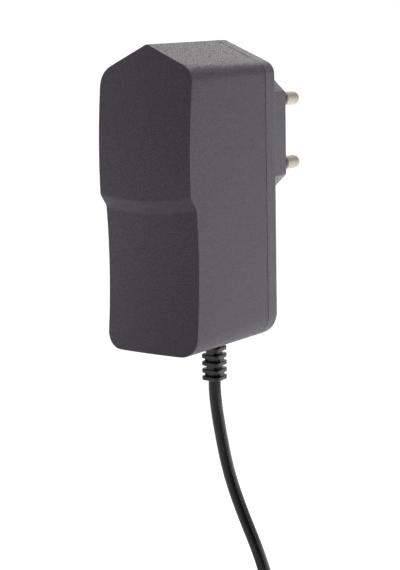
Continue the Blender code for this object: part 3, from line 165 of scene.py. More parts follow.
# Barrel plug, from its cord end to its contacts
PLUG_TAIL_LENGTH = 0.0100
PLUG_TAIL_RADIUS = 0.0028
PLUG_RIBS = 4
PLUG_FIRST_RIB = 0.6  # height of the first rib, as a share of the last one's
PLUG_RIB_PLACES = (0.35, 0.45, 0.90, 1.00)  # foot, both ends of the top, foot, in rib pitches
PLUG_SHOULDER_PLACES = (0.0004, 0.0022, 0.0036)
PLUG_SHOULDER_INSET = 0.0008
PLUG_MOUTH_EDGE = 0.0006
PLUG_SOCKET_DIAMETER = 0.0055
PLUG_SOCKET_DEPTH = 0.0020
PLUG_AXIS_RADIUS = 0.0002
PLUG_ROUNDING = 0.0003
BARREL_BORE_RADIUS = 0.00235
INSULATOR_BORE_RADIUS = 0.00175
CONTACT_BORE_RADIUS = 0.00105
CONTACT_EDGE = 0.00012

# Fineness of the meshes and their shading
ARC_STEPS = 12
EDGE_STEPS = 5
PEAK_STEPS = 6
ROOF_STEPS = 8
FRONT_COLUMNS = 36
ROUND_SIDES = 64
CORD_RESOLUTION = 6
CURVE_STEPS = 24
ROW_SPACING = 0.0014
STEP_ROW_SPACING = 0.0002
STEP_ROW_MARGIN = 0.0006
LOWER_ROW_START = 0.0020
CORNER_SHARE = 0.45  # most of a straight that one rounded corner takes
LEAST_CORNER = 1e-6
MERGE_DISTANCE = 1e-7
SHARP_ANGLE = math.radians(35)
SHADING_WEIGHT = 60

# Colours and grain of the mouldings
HOUSING_COLOUR = (86, 82, 91)
COVER_COLOUR = (104, 101, 108)
# Pale colour of the specks painted on faces that look up, a painted highlight standing for glints of
# light
GLINT_COLOUR = (164, 157, 155)
GRAIN_SPREAD = 0.28
GRAIN_SIZE = 0.00031
GRAIN_HEIGHT = 0.00014
BUMP_SIZE = GRAIN_SIZE * 1.15
GLINT_SIZE = GRAIN_SIZE * 1.2
SHEEN_SIZE = GRAIN_SIZE * 2
GLINT_UPWARD = (0.6, 0.9)  # how far a face looks up where the painted glints begin and are full

# Studio
WORLD_LEVEL = 0.14
FLOOR_GLOW = 0.74
BACKDROP_GLOW = 0.95
GLOW_NEAR = 0.6
GLOW_FAR = 1.2
FLOOR_DROP = 0.02
FLOOR_NEAR = -1.6
FLOOR_FAR = 1.2
SWEEP_RADIUS = 0.5
BACKDROP_HEIGHT = 2.6
STAGE_HALF_WIDTH = 2.5
LIGHT_TARGET = (0, -0.03, -0.02)

SEAM_DEPTH = BOSS_DEPTH + COVER_DEPTH


# Camera and cord route come first


def aim_camera():
    camera = bpy.data.objects.new("camera", bpy.data.cameras.new("camera"))
    bpy.context.collection.objects.link(camera)
    camera.data.sensor_width = SENSOR_LONG_SIDE
    camera.data.lens = FOCAL_PIXELS * SENSOR_LONG_SIDE / FRAME_HEIGHT
    camera.data.clip_start = CAMERA_CLIP
    turn = Matrix.Rotation(math.radians(CAMERA_AZIMUTH), 4, "Z")
    tilt = Matrix.Rotation(math.radians(90 - CAMERA_PITCH), 4, "X")
    roll = Matrix.Rotation(math.radians(CAMERA_ROLL), 4, "Z")
    camera.matrix_world = Matrix.Translation(CAMERA_PLACE) @ turn @ tilt @ roll
    bpy.context.scene.camera = camera


def smooth_points(controls, spacing):
    """Points at even spacing on a smooth curve through the control points.

    Each stretch is a cubic that leaves a point in the direction of its two neighbours.
    """
    controls = [Vector(point) for point in controls]
    ends = [2 * controls[0] - controls[1]] + controls + [2 * controls[-1] - controls[-2]]
    fine = []
    for index in range(1, len(ends) - 2):
        before, start, end, after = ends[index - 1:index + 3]
        for step in range(CURVE_STEPS):
            t = step / CURVE_STEPS
            fine.append(
                0.5 * (
                    2 * start + (end - before) * t + (2 * before - 5 * start + 4 * end - after) * t**2
                    + (3 * start - before - 3 * end + after) * t**3
                )
            )
    fine.append(controls[-1])
    lengths = [0.0]
    for first, second in zip(fine, fine[1:]):
        lengths.append(lengths[-1] + (second - first).length)
    count = max(2, round(lengths[-1] / spacing))
    points = []
    segment = 0
    for step in range(count + 1):
        target = lengths[-1] * step / count
        while segment < len(fine) - 2 and lengths[segment + 1] < target:
            segment += 1
        share = (target - lengths[segment]) / (lengths[segment + 1] - lengths[segment])
        points.append(fine[segment].lerp(fine[segment + 1], share))
    return points


def relief_centre():
    low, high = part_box("strain_relief")
    return (low + high) / 2


def cord_start():
    centre = relief_centre()
    return Vector((centre.x, centre.y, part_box("strain_relief")[0].z - GAP))


def coil_places():
    """Layer and column of each turn: in and out through the layers, one column after another."""
    places = []
    for column in range(COIL_COLUMNS):
        layers = range(COIL_LAYERS) if column % 2 == 0 else reversed(range(COIL_LAYERS))
        places += [(layer, column) for layer in layers]
    return places


def coil_shifts():
    """Total angle at which the cord moves from each turn's place to the next.

    A place is left before the neighbouring turn moves in, so each change of direction
    moves the shift one step back round the coil.
    """
    places = coil_places()
    shifts = []
    back = COIL_SHIFT_ANGLE / 2
    for turn in range(1, len(places)):
        sideways = places[turn][1] != places[turn - 1][1]
        was_sideways = turn > 1 and places[turn - 1][1] != places[turn - 2][1]
        if turn > 1 and (sideways or was_sideways):
            back += COIL_SHIFT_BACK
        shifts.append(turn * 2 * math.pi - back)
    return shifts


def coil_points():
    """Centre line of the coil's turns, clockwise from where the cord comes down into it."""
    low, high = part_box("cord_coil")
    centre = (low + high) / 2
    outer_layer = (high.z - low.z) / 2 - CORD_DIAMETER / 2 - GAP / 2
    rear_column = centre.y + (COIL_COLUMNS - 1) / 2 * CORD_DIAMETER
    places = coil_places()
    shifts = coil_shifts()
    turns = len(places) - 1
    points = []
    for step in range(turns * COIL_POINTS_PER_TURN + 1):
        angle = 2 * math.pi * step / COIL_POINTS_PER_TURN
        layer, column = places[0]
        for turn, middle in enumerate(shifts, 1):
            share = (angle - middle) / COIL_SHIFT_ANGLE + 0.5
            share = min(max(share, 0.0), 1.0)
            share = (1 - math.cos(math.pi * share)) / 2
            layer += (places[turn][0] - places[turn - 1][0]) * share
            column += (places[turn][1] - places[turn - 1][1]) * share
        radius = outer_layer - layer * CORD_DIAMETER
        points.append(
            Vector((
                centre.x + radius * math.cos(angle),
                rear_column - column * CORD_DIAMETER,
                centre.z - radius * math.sin(angle),
            ))
        )
    return points


def cord_points():
    """The whole cord: out of the strain relief, down, through the coil and into its plug."""
    start = cord_start()
    route = [start + Vector((across, 0, -drop)) for across, drop in CORD_ROUTE]
    inside = start + Vector((0, 0, GAP + CORD_INTO_RELIEF))
    coil = coil_points()
    plug_low, plug_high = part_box("dc_plug_grip")
    plug_centre = (plug_low + plug_high) / 2
    plug_entry = Vector((plug_centre.x, plug_centre.y, plug_high.z))
    into_plug = plug_entry - Vector((0, 0, CORD_INTO_PLUG))
    tail_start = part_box("cord_tail")[1].z
    bend_out = (coil[-1].x - plug_entry.x) * TAIL_BEND_OUT
    tail = [
        Vector((coil[-1].x, coil[-1].y, tail_start)),
        coil[-1].lerp(plug_entry, TAIL_BEND_PLACE) + Vector((bend_out, 0, 0)),
        plug_entry,
        into_plug,
    ]
    visible = smooth_points([inside] + route, CORD_DIAMETER / 3)
    entry = smooth_points([route[-2], route[-1], coil[0]], CORD_DIAMETER)
    entry = [point for point in entry if point.z < route[-1].z - CORD_DIAMETER / 4]
    leaving = smooth_points([coil[-1]] + tail, CORD_DIAMETER)
    return visible + entry[:-1] + coil + leaving[1:]


def make_cord():
    curve = bpy.data.curves.new("output_cord", "CURVE")
    curve.dimensions = "3D"
    curve.bevel_depth = CORD_DIAMETER / 2
    curve.bevel_resolution = CORD_RESOLUTION
    curve.use_fill_caps = True
    points = cord_points()
    spline = curve.splines.new("POLY")
    spline.points.add(len(points) - 1)
    for target, point in zip(spline.points, points):
        target.co = (*point, 1.0)
    spline.use_smooth = True
    cord = bpy.data.objects.new("output_cord", curve)
    bpy.context.collection.objects.link(cord)
    return cord


# Materials


def linear(value):
    """One sRGB channel, 0 to 255, as a linear value."""
    share = value / 255
    return share / 12.92 if share <= 0.04045 else ((share + 0.055) / 1.055) ** 2.4


def colour(red, green, blue):
    return (linear(red), linear(green), linear(blue), 1.0)


def new_material(name, roughness, metallic=0.0, specular=0.5):
    material = bpy.data.materials.new(name)
    material.use_nodes = True
    shader = material.node_tree.nodes["Principled BSDF"]
    shader.inputs["Roughness"].default_value = roughness
    shader.inputs["Metallic"].default_value = metallic
    shader.inputs["Specular IOR Level"].default_value = specular
    return material


def add_node(material, kind, **values):
    node = material.node_tree.nodes.new(kind)
    for name, value in values.items():
        node.inputs[name.replace("_", " ")].default_value = value
    return node


def add_math(tree, operation, first, second):
    """Math node of two entries, each a number or another node's output."""
    node = tree.nodes.new("ShaderNodeMath")
    node.operation = operation
    for entry, value in enumerate((first, second)):
        if isinstance(value, float):
            node.inputs[entry].default_value = value
        else:
            tree.links.new(value, node.inputs[entry])
    return node.outputs["Value"]


def link(material, source, output, target, entry):
    material.node_tree.links.new(source.outputs[output], target.inputs[entry])


def noise(material, size, detail=2.0, stretch=(1, 1, 1)):
    """Noise with features of about the given size in metres, fixed to the object."""
    place = add_node(material, "ShaderNodeTexCoord")
    scale = add_node(material, "ShaderNodeMapping", Scale=stretch)
    texture = add_node(material, "ShaderNodeTexNoise", Scale=1 / size, Detail=detail, Roughness=0.6)
    link(material, place, "Object", scale, "Vector")
    link(material, scale, "Vector", texture, "Vector")
    return texture


def ramp(material, source, output, stops):
    """Colour ramp of (place, colour) stops driven by a node's output."""
    node = material.node_tree.nodes.new("ShaderNodeValToRGB")
    elements = node.color_ramp.elements
    while len(elements) < len(stops):
        elements.new(0.5)
    for element, (place, value) in zip(elements, stops):
        element.position = place
        element.color = value
    link(material, source, output, node, "Fac")
    return node


def shades(base, spread):
    """A colour made darker and lighter by a share."""
    dark = tuple(channel * (1 - spread) for channel in base[:3]) + (1.0,)
    light = tuple(min(1.0, channel * (1 + spread)) for channel in base[:3]) + (1.0,)
    return dark, light


def vary_colour(material, base, spread, size, detail=2.0):
    """Base colour that wanders lighter and darker by a share, at the given grain size."""
    dark, light = shades(base, spread)
    tint = ramp(material, noise(material, size, detail), "Fac", [(0.3, dark), (0.7, light)])
    link(material, tint, "Color", material.node_tree.nodes["Principled BSDF"], "Base Color")


def vary_roughness(material, low, high, size):
    texture = noise(material, size)
    spread = add_node(material, "ShaderNodeMapRange")
    spread.inputs["From Min"].default_value = 0.3
    spread.inputs["From Max"].default_value = 0.7
    spread.inputs["To Min"].default_value = low
    spread.inputs["To Max"].default_value = high
    link(material, texture, "Fac", spread, "Value")
    link(material, spread, "Result", material.node_tree.nodes["Principled BSDF"], "Roughness")


def bump(material, texture, output, height, strength=1.0):
    node = add_node(material, "ShaderNodeBump", Strength=strength, Distance=height)
    link(material, texture, output, node, "Height")
    link(material, node, "Normal", material.node_tree.nodes["Principled BSDF"], "Normal")


def grained_plastic(name, base, spread):
    """Dark grey moulded plastic with the fine grain of an etched mould.

    Pale specks in the grain of the faces that look up are painted highlight: glints of light painted
    into the colour.
    """
    material = new_material(name, 0.5)
    tree = material.node_tree
    dark, light = shades(base, spread)
    tint = ramp(material, noise(material, GRAIN_SIZE, 1.0), "Fac", [(0.35, dark), (0.65, light)])
    # Painted highlight: pale specks on the faces that look up stand for glints of light, not for dust
    upward = add_node(material, "ShaderNodeSeparateXYZ")
    link(material, add_node(material, "ShaderNodeTexCoord"), "Normal", upward, "Vector")
    glint_mask = add_node(material, "ShaderNodeMapRange")
    glint_mask.inputs["From Min"].default_value, glint_mask.inputs["From Max"].default_value = GLINT_UPWARD
    link(material, upward, "Z", glint_mask, "Value")
    glint_stops = [(0.43, (0, 0, 0, 1)), (0.70, (1, 1, 1, 1))]
    glint_specks = ramp(material, noise(material, GLINT_SIZE, 1.0), "Fac", glint_stops)
    painted_glints = add_math(tree, "MULTIPLY", glint_mask.outputs["Result"], glint_specks.outputs["Color"])
    mix = tree.nodes.new("ShaderNodeMix")
    mix.data_type = "RGBA"
    mix.inputs["B"].default_value = colour(*GLINT_COLOUR)
    tree.links.new(painted_glints, mix.inputs["Factor"])
    link(material, tint, "Color", mix, "A")
    link(material, mix, "Result", tree.nodes["Principled BSDF"], "Base Color")
    vary_roughness(material, 0.44, 0.62, SHEEN_SIZE)
    bump(material, noise(material, BUMP_SIZE, 1.0), "Fac", GRAIN_HEIGHT)
    return material


def soft_vinyl(name, base, roughness, grain_height, specular=0.5):
    """Soft vinyl: even colour, faint mottling, a slightly wavy sheen."""
    material = new_material(name, roughness, specular=specular)
    vary_colour(material, colour(*base), 0.10, 0.0012)
    vary_roughness(material, roughness - 0.03, roughness + 0.05, 0.0015)
    bump(material, noise(material, 0.0006), "Fac", grain_height, 0.6)
    return material


def plated_metal():
    """Nickel plating with turning marks and a satin haze."""
    material = new_material("nickel_plating", 0.66, metallic=1.0)
    vary_colour(material, colour(196, 187, 179), 0.05, 0.0008)
    vary_roughness(material, 0.60, 0.74, 0.0006)
    bump(material, noise(material, 0.00025, 2.0, (1, 6, 1)), "Fac", 0.000006, 0.5)
    return material


def plain_plastic(name, base, roughness=0.5, spread=0.08, size=0.0009, height=0.00001):
    material = new_material(name, roughness)
    vary_colour(material, colour(*base), spread, size)
    vary_roughness(material, roughness - 0.07, roughness + 0.09, size * 1.6)
    bump(material, noise(material, size), "Fac", height, 0.5)
    return material


def ferrite():
    """Sintered ferrite: dull, dark, pitted."""
    material = new_material("ferrite_sintered", 0.8)
    vary_colour(material, colour(62, 60, 60), 0.22, 0.0005, 4.0)
    vary_roughness(material, 0.68, 0.9, 0.0007)
    bump(material, noise(material, 0.0003, 4.0), "Fac", 0.00003, 0.8)
    return material


def board_laminate():
    """Paper laminate with a faint weave along the board."""
    material = new_material("board_laminate", 0.6)
    weave = noise(material, 0.0007, 2.0, (1, 0.35, 3.0))
    shader = material.node_tree.nodes["Principled BSDF"]
    tint = ramp(material, weave, "Fac", [(0.3, colour(166, 140, 88)), (0.7, colour(188, 162, 106))])
    link(material, tint, "Color", shader, "Base Color")
    vary_roughness(material, 0.5, 0.7, 0.0011)
    bump(material, weave, "Fac", 0.00001, 0.5)
    return material


def winding_tape():
    """Yellow tape with the ridges of the turns below it."""
    material = new_material("winding_tape", 0.4)
    vary_colour(material, colour(222, 184, 46), 0.07, 0.0014)
    vary_roughness(material, 0.3, 0.5, 0.002)
    place = add_node(material, "ShaderNodeTexCoord")
    ridges = add_node(material, "ShaderNodeTexWave", Scale=320.0, Distortion=0.6)
    ridges.bands_direction = "Y"
    link(material, place, "Object", ridges, "Vector")
    bump(material, ridges, "Fac", 0.00004, 0.6)
    return material


def make_materials():
    return {
        "housing": grained_plastic("housing_grained", colour(*HOUSING_COLOUR), GRAIN_SPREAD),
        "cover": grained_plastic("cover_grained", colour(*COVER_COLOUR), GRAIN_SPREAD),
        "relief": soft_vinyl("relief_vinyl", (30, 28, 31), 0.34, 0.00002),
        "cord": soft_vinyl("cord_vinyl", (20, 17, 20), 0.24, 0.000003, 0.35),
        "grip": soft_vinyl("grip_vinyl", (46, 44, 48), 0.45, 0.00002),
        "sleeve": plain_plastic("sleeve_plastic", (44, 43, 46), 0.45),
        "nickel": plated_metal(),
        "board": board_laminate(),
        "ferrite": ferrite(),
        "tape": winding_tape(),
        "bobbin": plain_plastic("bobbin_plastic", (34, 34, 36)),
        "can": plain_plastic("capacitor_sleeve", (30, 38, 60), 0.35, 0.06, 0.0016),
        "epoxy": plain_plastic("moulded_epoxy", (36, 36, 38), 0.55, 0.12, 0.0004, 0.00002),
        "disc": plain_plastic("disc_coating", (56, 104, 168), 0.42, 0.10, 0.0010, 0.00003),
        "resistor": plain_plastic("resistor_coating", (122, 146, 128), 0.5, 0.08, 0.0008),
        "tie": plain_plastic("tie_plastic", (32, 32, 34), 0.4),
        "red": plain_plastic("red_insulation", (170, 34, 30), 0.42),
        "black": plain_plastic("black_insulation", (30, 30, 32), 0.42),
        "blue": plain_plastic("blue_insulation", (40, 66, 140), 0.42),
        "brown": plain_plastic("brown_insulation", (96, 60, 40), 0.42),
    }


# Mesh helpers


def finish_piece(name, bm, material, replaced):
    """Turn a bmesh into a smooth piece that rides on the part and stands for its nodes."""
    bmesh.ops.remove_doubles(bm, verts=bm.verts, dist=MERGE_DISTANCE)
    bmesh.ops.recalc_face_normals(bm, faces=bm.faces)
    mesh = bpy.data.meshes.new(name)
    bm.to_mesh(mesh)
    bm.free()
    piece = bpy.data.objects.new(name, mesh)
    bpy.context.collection.objects.link(piece)
    mesh.materials.append(material)
    mesh.shade_smooth()
    mesh.set_sharp_from_angle(angle=SHARP_ANGLE)
    adopt(piece, replaced)
    return piece


def adopt(piece, replaced):
    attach(piece, "root")
    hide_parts(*replaced)


def cut(piece, name, bm, operation="DIFFERENCE"):
    """Apply a Boolean with a helper mesh, then drop the helper."""
    bmesh.ops.recalc_face_normals(bm, faces=bm.faces)
    mesh = bpy.data.meshes.new(name)
    bm.to_mesh(mesh)
    bm.free()
    helper = bpy.data.objects.new(name, mesh)
    bpy.context.collection.objects.link(helper)
    modifier = piece.modifiers.new(name, "BOOLEAN")
    modifier.operation = operation
    modifier.solver = "EXACT"
    modifier.object = helper
    graph = bpy.context.evaluated_depsgraph_get()
    result = bpy.data.meshes.new_from_object(piece.evaluated_get(graph))
    piece.modifiers.clear()
    piece.data = result
    bpy.data.objects.remove(helper)


def even_shading(piece):
    """Weighted normals keep the flat faces flat beside their small fillets."""
    piece.data.shade_smooth()
    piece.data.set_sharp_from_angle(angle=SHARP_ANGLE)
    modifier = piece.modifiers.new("even_shading", "WEIGHTED_NORMAL")
    modifier.keep_sharp = True
    modifier.weight = SHADING_WEIGHT


def join_rings(bm, rings, closed=True):
    """Faces between one ring of points and the next, and over both ends if closed."""
    rows = [[bm.verts.new(point) for point in ring] for ring in rings]
    count = len(rows[0])
    for row, following in zip(rows, rows[1:]):
        for index in range(count):
            after = (index + 1) % count
            bm.faces.new((row[index], row[after], following[after], following[index]))
    if closed:
        bm.faces.new(rows[0])
        bm.faces.new(rows[-1])
    return rows


def edge_arc(radius):
    """Quarter round of an edge, as (distance from the face, inset of the side) pairs.

    It runs from the face to the side. With each pair turned round it runs back to the face.
    """
    angles = [step / EDGE_STEPS * math.pi / 2 for step in range(EDGE_STEPS + 1)]
    return [(radius * (1 - math.cos(angle)), radius * (1 - math.sin(angle))) for angle in angles]


def turned_rings(profile, base, direction):
    """Rings of a turned profile of (radius, distance along the axis)."""
    turn = Vector(direction).normalized().to_track_quat("Z", "Y").to_matrix().to_4x4()
    place = Matrix.Translation(Vector(base)) @ turn
    rings = []
    for radius, along in profile:
        ring = []
        for step in range(ROUND_SIDES):
            angle = 2 * math.pi * (step + 0.5) / ROUND_SIDES
            ring.append(place @ Vector((radius * math.cos(angle), radius * math.sin(angle), along)))
        rings.append(ring)
    return rings


def turned_piece(name, profile, base, direction, material, replaced, closed=True):
    """Finished piece of a turned profile; one that isn't closed returns to its own start."""
    bm = bmesh.new()
    join_rings(bm, turned_rings(profile, base, direction), closed)
    return finish_piece(name, bm, material, replaced)


def rounded(profile, radius, steps=4):
    """A turned profile with each corner between its two ends rounded off."""
    result = [profile[0]]
    for before, corner, after in zip(profile, profile[1:], profile[2:]):
        before, corner, after = Vector(before), Vector(corner), Vector(after)
        back, ahead = before - corner, after - corner
        reach = min(radius, back.length * CORNER_SHARE, ahead.length * CORNER_SHARE)
        if reach < LEAST_CORNER:
            result.append(tuple(corner))
            continue
        start, end = corner + back.normalized() * reach, corner + ahead.normalized() * reach
        for step in range(steps + 1):
            share = step / steps
            point = start * (1 - share) ** 2 + corner * 2 * share * (1 - share) + end * share**2
            result.append(tuple(point))
    result.append(profile[-1])
    return result


def rounded_square(width, radius, height, centre, steps=8):
    """Ring of points of a square with round corners, in a level plane."""
    inner = width / 2 - radius
    ring = []
    for corner in range(4):
        middle = math.pi / 4 + corner * math.pi / 2
        corner_x = inner * math.copysign(1, math.cos(middle))
        corner_y = inner * math.copysign(1, math.sin(middle))
        for step in range(steps + 1):
            angle = corner * math.pi / 2 + step / steps * math.pi / 2
            across = centre[0] + corner_x + radius * math.cos(angle)
            along = centre[1] + corner_y + radius * math.sin(angle)
            ring.append(Vector((across, along, height)))
    return ring


def box_mesh(bm, low, high):
    size = Vector(high) - Vector(low)
    centre = (Vector(high) + Vector(low)) / 2
    matrix = Matrix.Translation(centre) @ Matrix.Diagonal((*size, 1.0))
    bmesh.ops.create_cube(bm, size=1.0, matrix=matrix)


# Housing


def housing_sizes(share):
    """Half width, base, eave and peak of the section: 0 at the rear face, 1 at the front."""
    return (
        (HOUSING_WIDTH - WIDTH_TAPER * share) / 2,
        -BASE_DROP + BASE_TAPER * share,
        EAVE_RISE - EAVE_TAPER * share,
        PEAK_RISE - PEAK_TAPER * share,
    )


def spread_heights(start, end, spacing):
    count = max(2, round((end - start) / spacing))
    return [start + (end - start) * step / count for step in range(count + 1)]


def side_heights():
    """Heights of the rows of points between the base corner and the eave."""
    step_bottom = STEP_TOP - STEP_HEIGHT
    margin = STEP_ROW_MARGIN
    lower_end = -BASE_DROP + BASE_TAPER + BASE_CORNER_RADIUS + LOWER_ROW_START
    upper_end = EAVE_RISE - EAVE_TAPER - EAVE_CORNER_RADIUS - EAVE_RADIUS_GAIN
    return (
        spread_heights(lower_end, step_bottom - 2 * margin, ROW_SPACING)
        + spread_heights(step_bottom - margin, STEP_TOP + margin, STEP_ROW_SPACING)
        + spread_heights(STEP_TOP + 2 * margin, upper_end, ROW_SPACING)
    )


def half_section(share, inset):
    """Right half of the housing's outline, from the base to the peak, as (x, z) points."""
    half_width, base, eave, peak = housing_sizes(share)
    pitch = math.atan2(peak - eave, half_width)
    half_width -= inset
    base += inset
    peak -= inset / math.cos(pitch)
    points = []
    radius = max(BASE_CORNER_RADIUS - BASE_RADIUS_TAPER * share - inset, LEAST_RADIUS)
    centre_x, centre_z = half_width - radius, base + radius
    for step in range(ARC_STEPS + 1):
        angle = -math.pi / 2 + step / ARC_STEPS * math.pi / 2
        points.append((centre_x + radius * math.cos(angle), centre_z + radius * math.sin(angle)))
    points += [(half_width, height) for height in side_heights()]
    radius = max(EAVE_CORNER_RADIUS + EAVE_RADIUS_GAIN * share - inset, LEAST_RADIUS)
    centre_x = half_width - radius
    centre_z = (peak * math.cos(pitch) - radius - centre_x * math.sin(pitch)) / math.cos(pitch)
    for step in range(ARC_STEPS + 1):
        angle = step / ARC_STEPS * (math.pi / 2 - pitch)
        points.append((centre_x + radius * math.cos(angle), centre_z + radius * math.sin(angle)))
    eave_end = points[-1]
    radius = max(PEAK_RADIUS - inset, LEAST_RADIUS)
    centre_z = peak - radius / math.cos(pitch)
    peak_start = (radius * math.sin(pitch), centre_z + radius * math.cos(pitch))
    for step in range(1, ROOF_STEPS):
        share_up = step / ROOF_STEPS
        points.append(tuple(a + (b - a) * share_up for a, b in zip(eave_end, peak_start)))
    for step in range(PEAK_STEPS + 1):
        angle = pitch * (1 - step / PEAK_STEPS)
        points.append((radius * math.sin(angle), centre_z + radius * math.cos(angle)))
    return points


def eased(share):
    """Ramp from 0 to 1 with both ends rounded off."""
    share = min(max(share, 0.0), 1.0)
    slope = 1 / (1 - STEP_ROUNDING)
    if share < STEP_ROUNDING:
        return slope * share**2 / (2 * STEP_ROUNDING)
    if share > 1 - STEP_ROUNDING:
        return 1 - slope * (1 - share) ** 2 / (2 * STEP_ROUNDING)
    return slope * (share - STEP_ROUNDING / 2)


def front_depth(height):
    """Depth of the front face's side edges at a height."""
    upper = UPPER_DEPTH - (height - UPPER_BULGE_HEIGHT) ** 2 / (2 * UPPER_BULGE_RADIUS)
    lower = LOWER_DEPTH + (height - LOWER_HOLLOW_HEIGHT) ** 2 / (2 * LOWER_HOLLOW_RADIUS)
    below = eased((STEP_TOP - height) / STEP_HEIGHT)
    return BOSS_DEPTH + upper + (lower - upper) * below


def front_crown(height, across):
    """How far the front face stands out past its side edges at a height and a place across."""
    below = eased((STEP_TOP - height) / STEP_HEIGHT)
    crown = UPPER_CROWN + (LOWER_CROWN - UPPER_CROWN) * below
    return crown * (1 - (across / housing_sizes(1)[0]) ** 2)


def front_sag(height):
    """How much lower the middle of a row lies than its ends, most at the step."""
    away = abs(height - (STEP_TOP - STEP_HEIGHT / 2)) / STEP_SAG_REACH
    return STEP_SAG * max(0.0, 1 - away**2)


def ring_order(rows):
    """The outline's points as (row, share of the half width), all the way round."""
    base = [(0, 2 * column / FRONT_COLUMNS - 1) for column in range(FRONT_COLUMNS + 1)]
    right = [(row, 1) for row in range(1, rows - 1)]
    left = [(row, -1) for row in range(rows - 2, 0, -1)]
    return base + right + [(rows - 1, 0)] + left


def housing_ring(depth_at, inset=0.0):
    """One ring of the housing, whose depth may change with height and across."""
    rear, front = half_section(0, inset), half_section(1, inset)
    ring = []
    for row, side in ring_order(len(rear)):
        depth = depth_at(front[row][1], front[row][0] * side)
        share = (depth - BOSS_DEPTH) / LOWER_DEPTH
        across = rear[row][0] + (front[row][0] - rear[row][0]) * share
        height = rear[row][1] + (front[row][1] - rear[row][1]) * share
        ring.append(Vector((across * side, -depth, height)))
    return ring


def flat_ring(depth, inset=0.0):
    return housing_ring(lambda height, across: depth, inset)


def front_ring(back, inset):
    """A ring that follows the front face at a distance behind it."""
    return housing_ring(
        lambda height, across: front_depth(height) + front_crown(height, across) - back, inset
    )


def fill_front(bm, ring):
    """Close the front with rows of faces that follow the crown and the sagging step."""
    rows = len(half_section(0, 0))
    grid = {}
    for vertex, (row, side) in zip(ring, ring_order(rows)):
        grid[row, round((side + 1) * FRONT_COLUMNS / 2)] = vertex
    for row in range(1, rows - 1):
        edge = grid[row, FRONT_COLUMNS].co
        for column in range(1, FRONT_COLUMNS):
            side = 2 * column / FRONT_COLUMNS - 1
            across = edge.x * side
            depth = -edge.y + front_crown(edge.z, across) - front_crown(edge.z, edge.x)
            height = edge.z - front_sag(edge.z) * (1 - side**2)
            grid[row, column] = bm.verts.new((across, -depth, height))
    peak = grid[rows - 1, FRONT_COLUMNS // 2]
    for row in range(rows - 2):
        for column in range(FRONT_COLUMNS):
            bm.faces.new((
                grid[row, column], grid[row, column + 1],
                grid[row + 1, column + 1], grid[row + 1, column],
            ))
    for column in range(FRONT_COLUMNS):
        bm.faces.new((grid[rows - 2, column], grid[rows - 2, column + 1], peak))


def make_front_housing(materials):
    """The shell: rounded rim at the seam, rounded edge round the front, even wall, cord slot."""
    bm = bmesh.new()
    rim = SEAM_DEPTH + SEAM_GAP / 2
    outside = [flat_ring(rim + along, inset) for along, inset in edge_arc(SEAM_CHAMFER)]
    outside += [flat_ring(rim + 2 * SEAM_CHAMFER), front_ring(2 * EDGE_RADIUS, 0.0)]
    outside += [front_ring(back, inset) for inset, back in edge_arc(EDGE_RADIUS)]
    outside.append(front_ring(0.0, 1.5 * EDGE_RADIUS))
    rows = join_rings(bm, outside, closed=False)
    fill_front(bm, rows[-1])
    inside = join_rings(bm, [flat_ring(rim, WALL), front_ring(WALL, WALL)], closed=False)
    fill_front(bm, inside[-1])
    for index, vertex in enumerate(rows[0]):
        after = (index + 1) % len(rows[0])
        bm.faces.new((vertex, rows[0][after], inside[0][after], inside[0][index]))
    piece = finish_piece("front_housing", bm, materials["housing"], ["front_shell"])
    centre = relief_centre()
    half = RELIEF_NECK_WIDTH / 2 + GAP
    slot = bmesh.new()
    low = (-half, centre.y - half, -BASE_DROP - WALL)
    high = (half, -SEAM_DEPTH + WALL, -BASE_DROP + 2 * WALL)
    box_mesh(slot, low, high)
    cut(piece, "relief_slot", slot)
    even_shading(piece)


# Rear cover with the plug boss


def boss_ring(depth, inset=0.0):
    """Octagon section of the plug boss, a little larger toward the cover."""
    grow = BOSS_DRAFT * depth / BOSS_DEPTH - inset
    half_width = BOSS_WIDTH / 2 + grow
    half_height = BOSS_HEIGHT / 2 + grow
    slope_x = (BOSS_WIDTH - BOSS_END_WIDTH) / 2
    slope_z = (BOSS_HEIGHT - BOSS_FLAT_HEIGHT) / 2
    slope = math.hypot(slope_x, slope_z)
    half_flat = BOSS_FLAT_HEIGHT / 2 + grow * (slope - slope_z) / slope_x
    half_end = BOSS_END_WIDTH / 2 + grow * (slope - slope_x) / slope_z
    corners = [
        (half_width, -half_flat), (half_width, half_flat),
        (half_end, half_height), (-half_end, half_height),
        (-half_width, half_flat), (-half_width, -half_flat),
        (-half_end, -half_height), (half_end, -half_height),
    ]
    return [Vector((across, -depth, height)) for across, height in corners]


def boss_mesh():
    """The plug boss as one closed form, all its edges softened but those round its inner end."""
    bm = bmesh.new()
    join_rings(bm, [boss_ring(0.0), boss_ring(BOSS_DEPTH + COVER_PLATE / 2)])
    edges = [edge for edge in bm.edges if max(vertex.co.y for vertex in edge.verts) > -BOSS_DEPTH]
    bmesh.ops.bevel(
        bm, geom=edges, offset=BOSS_EDGE, offset_type="OFFSET", segments=3, profile=0.5, affect="EDGES"
    )
    return bm


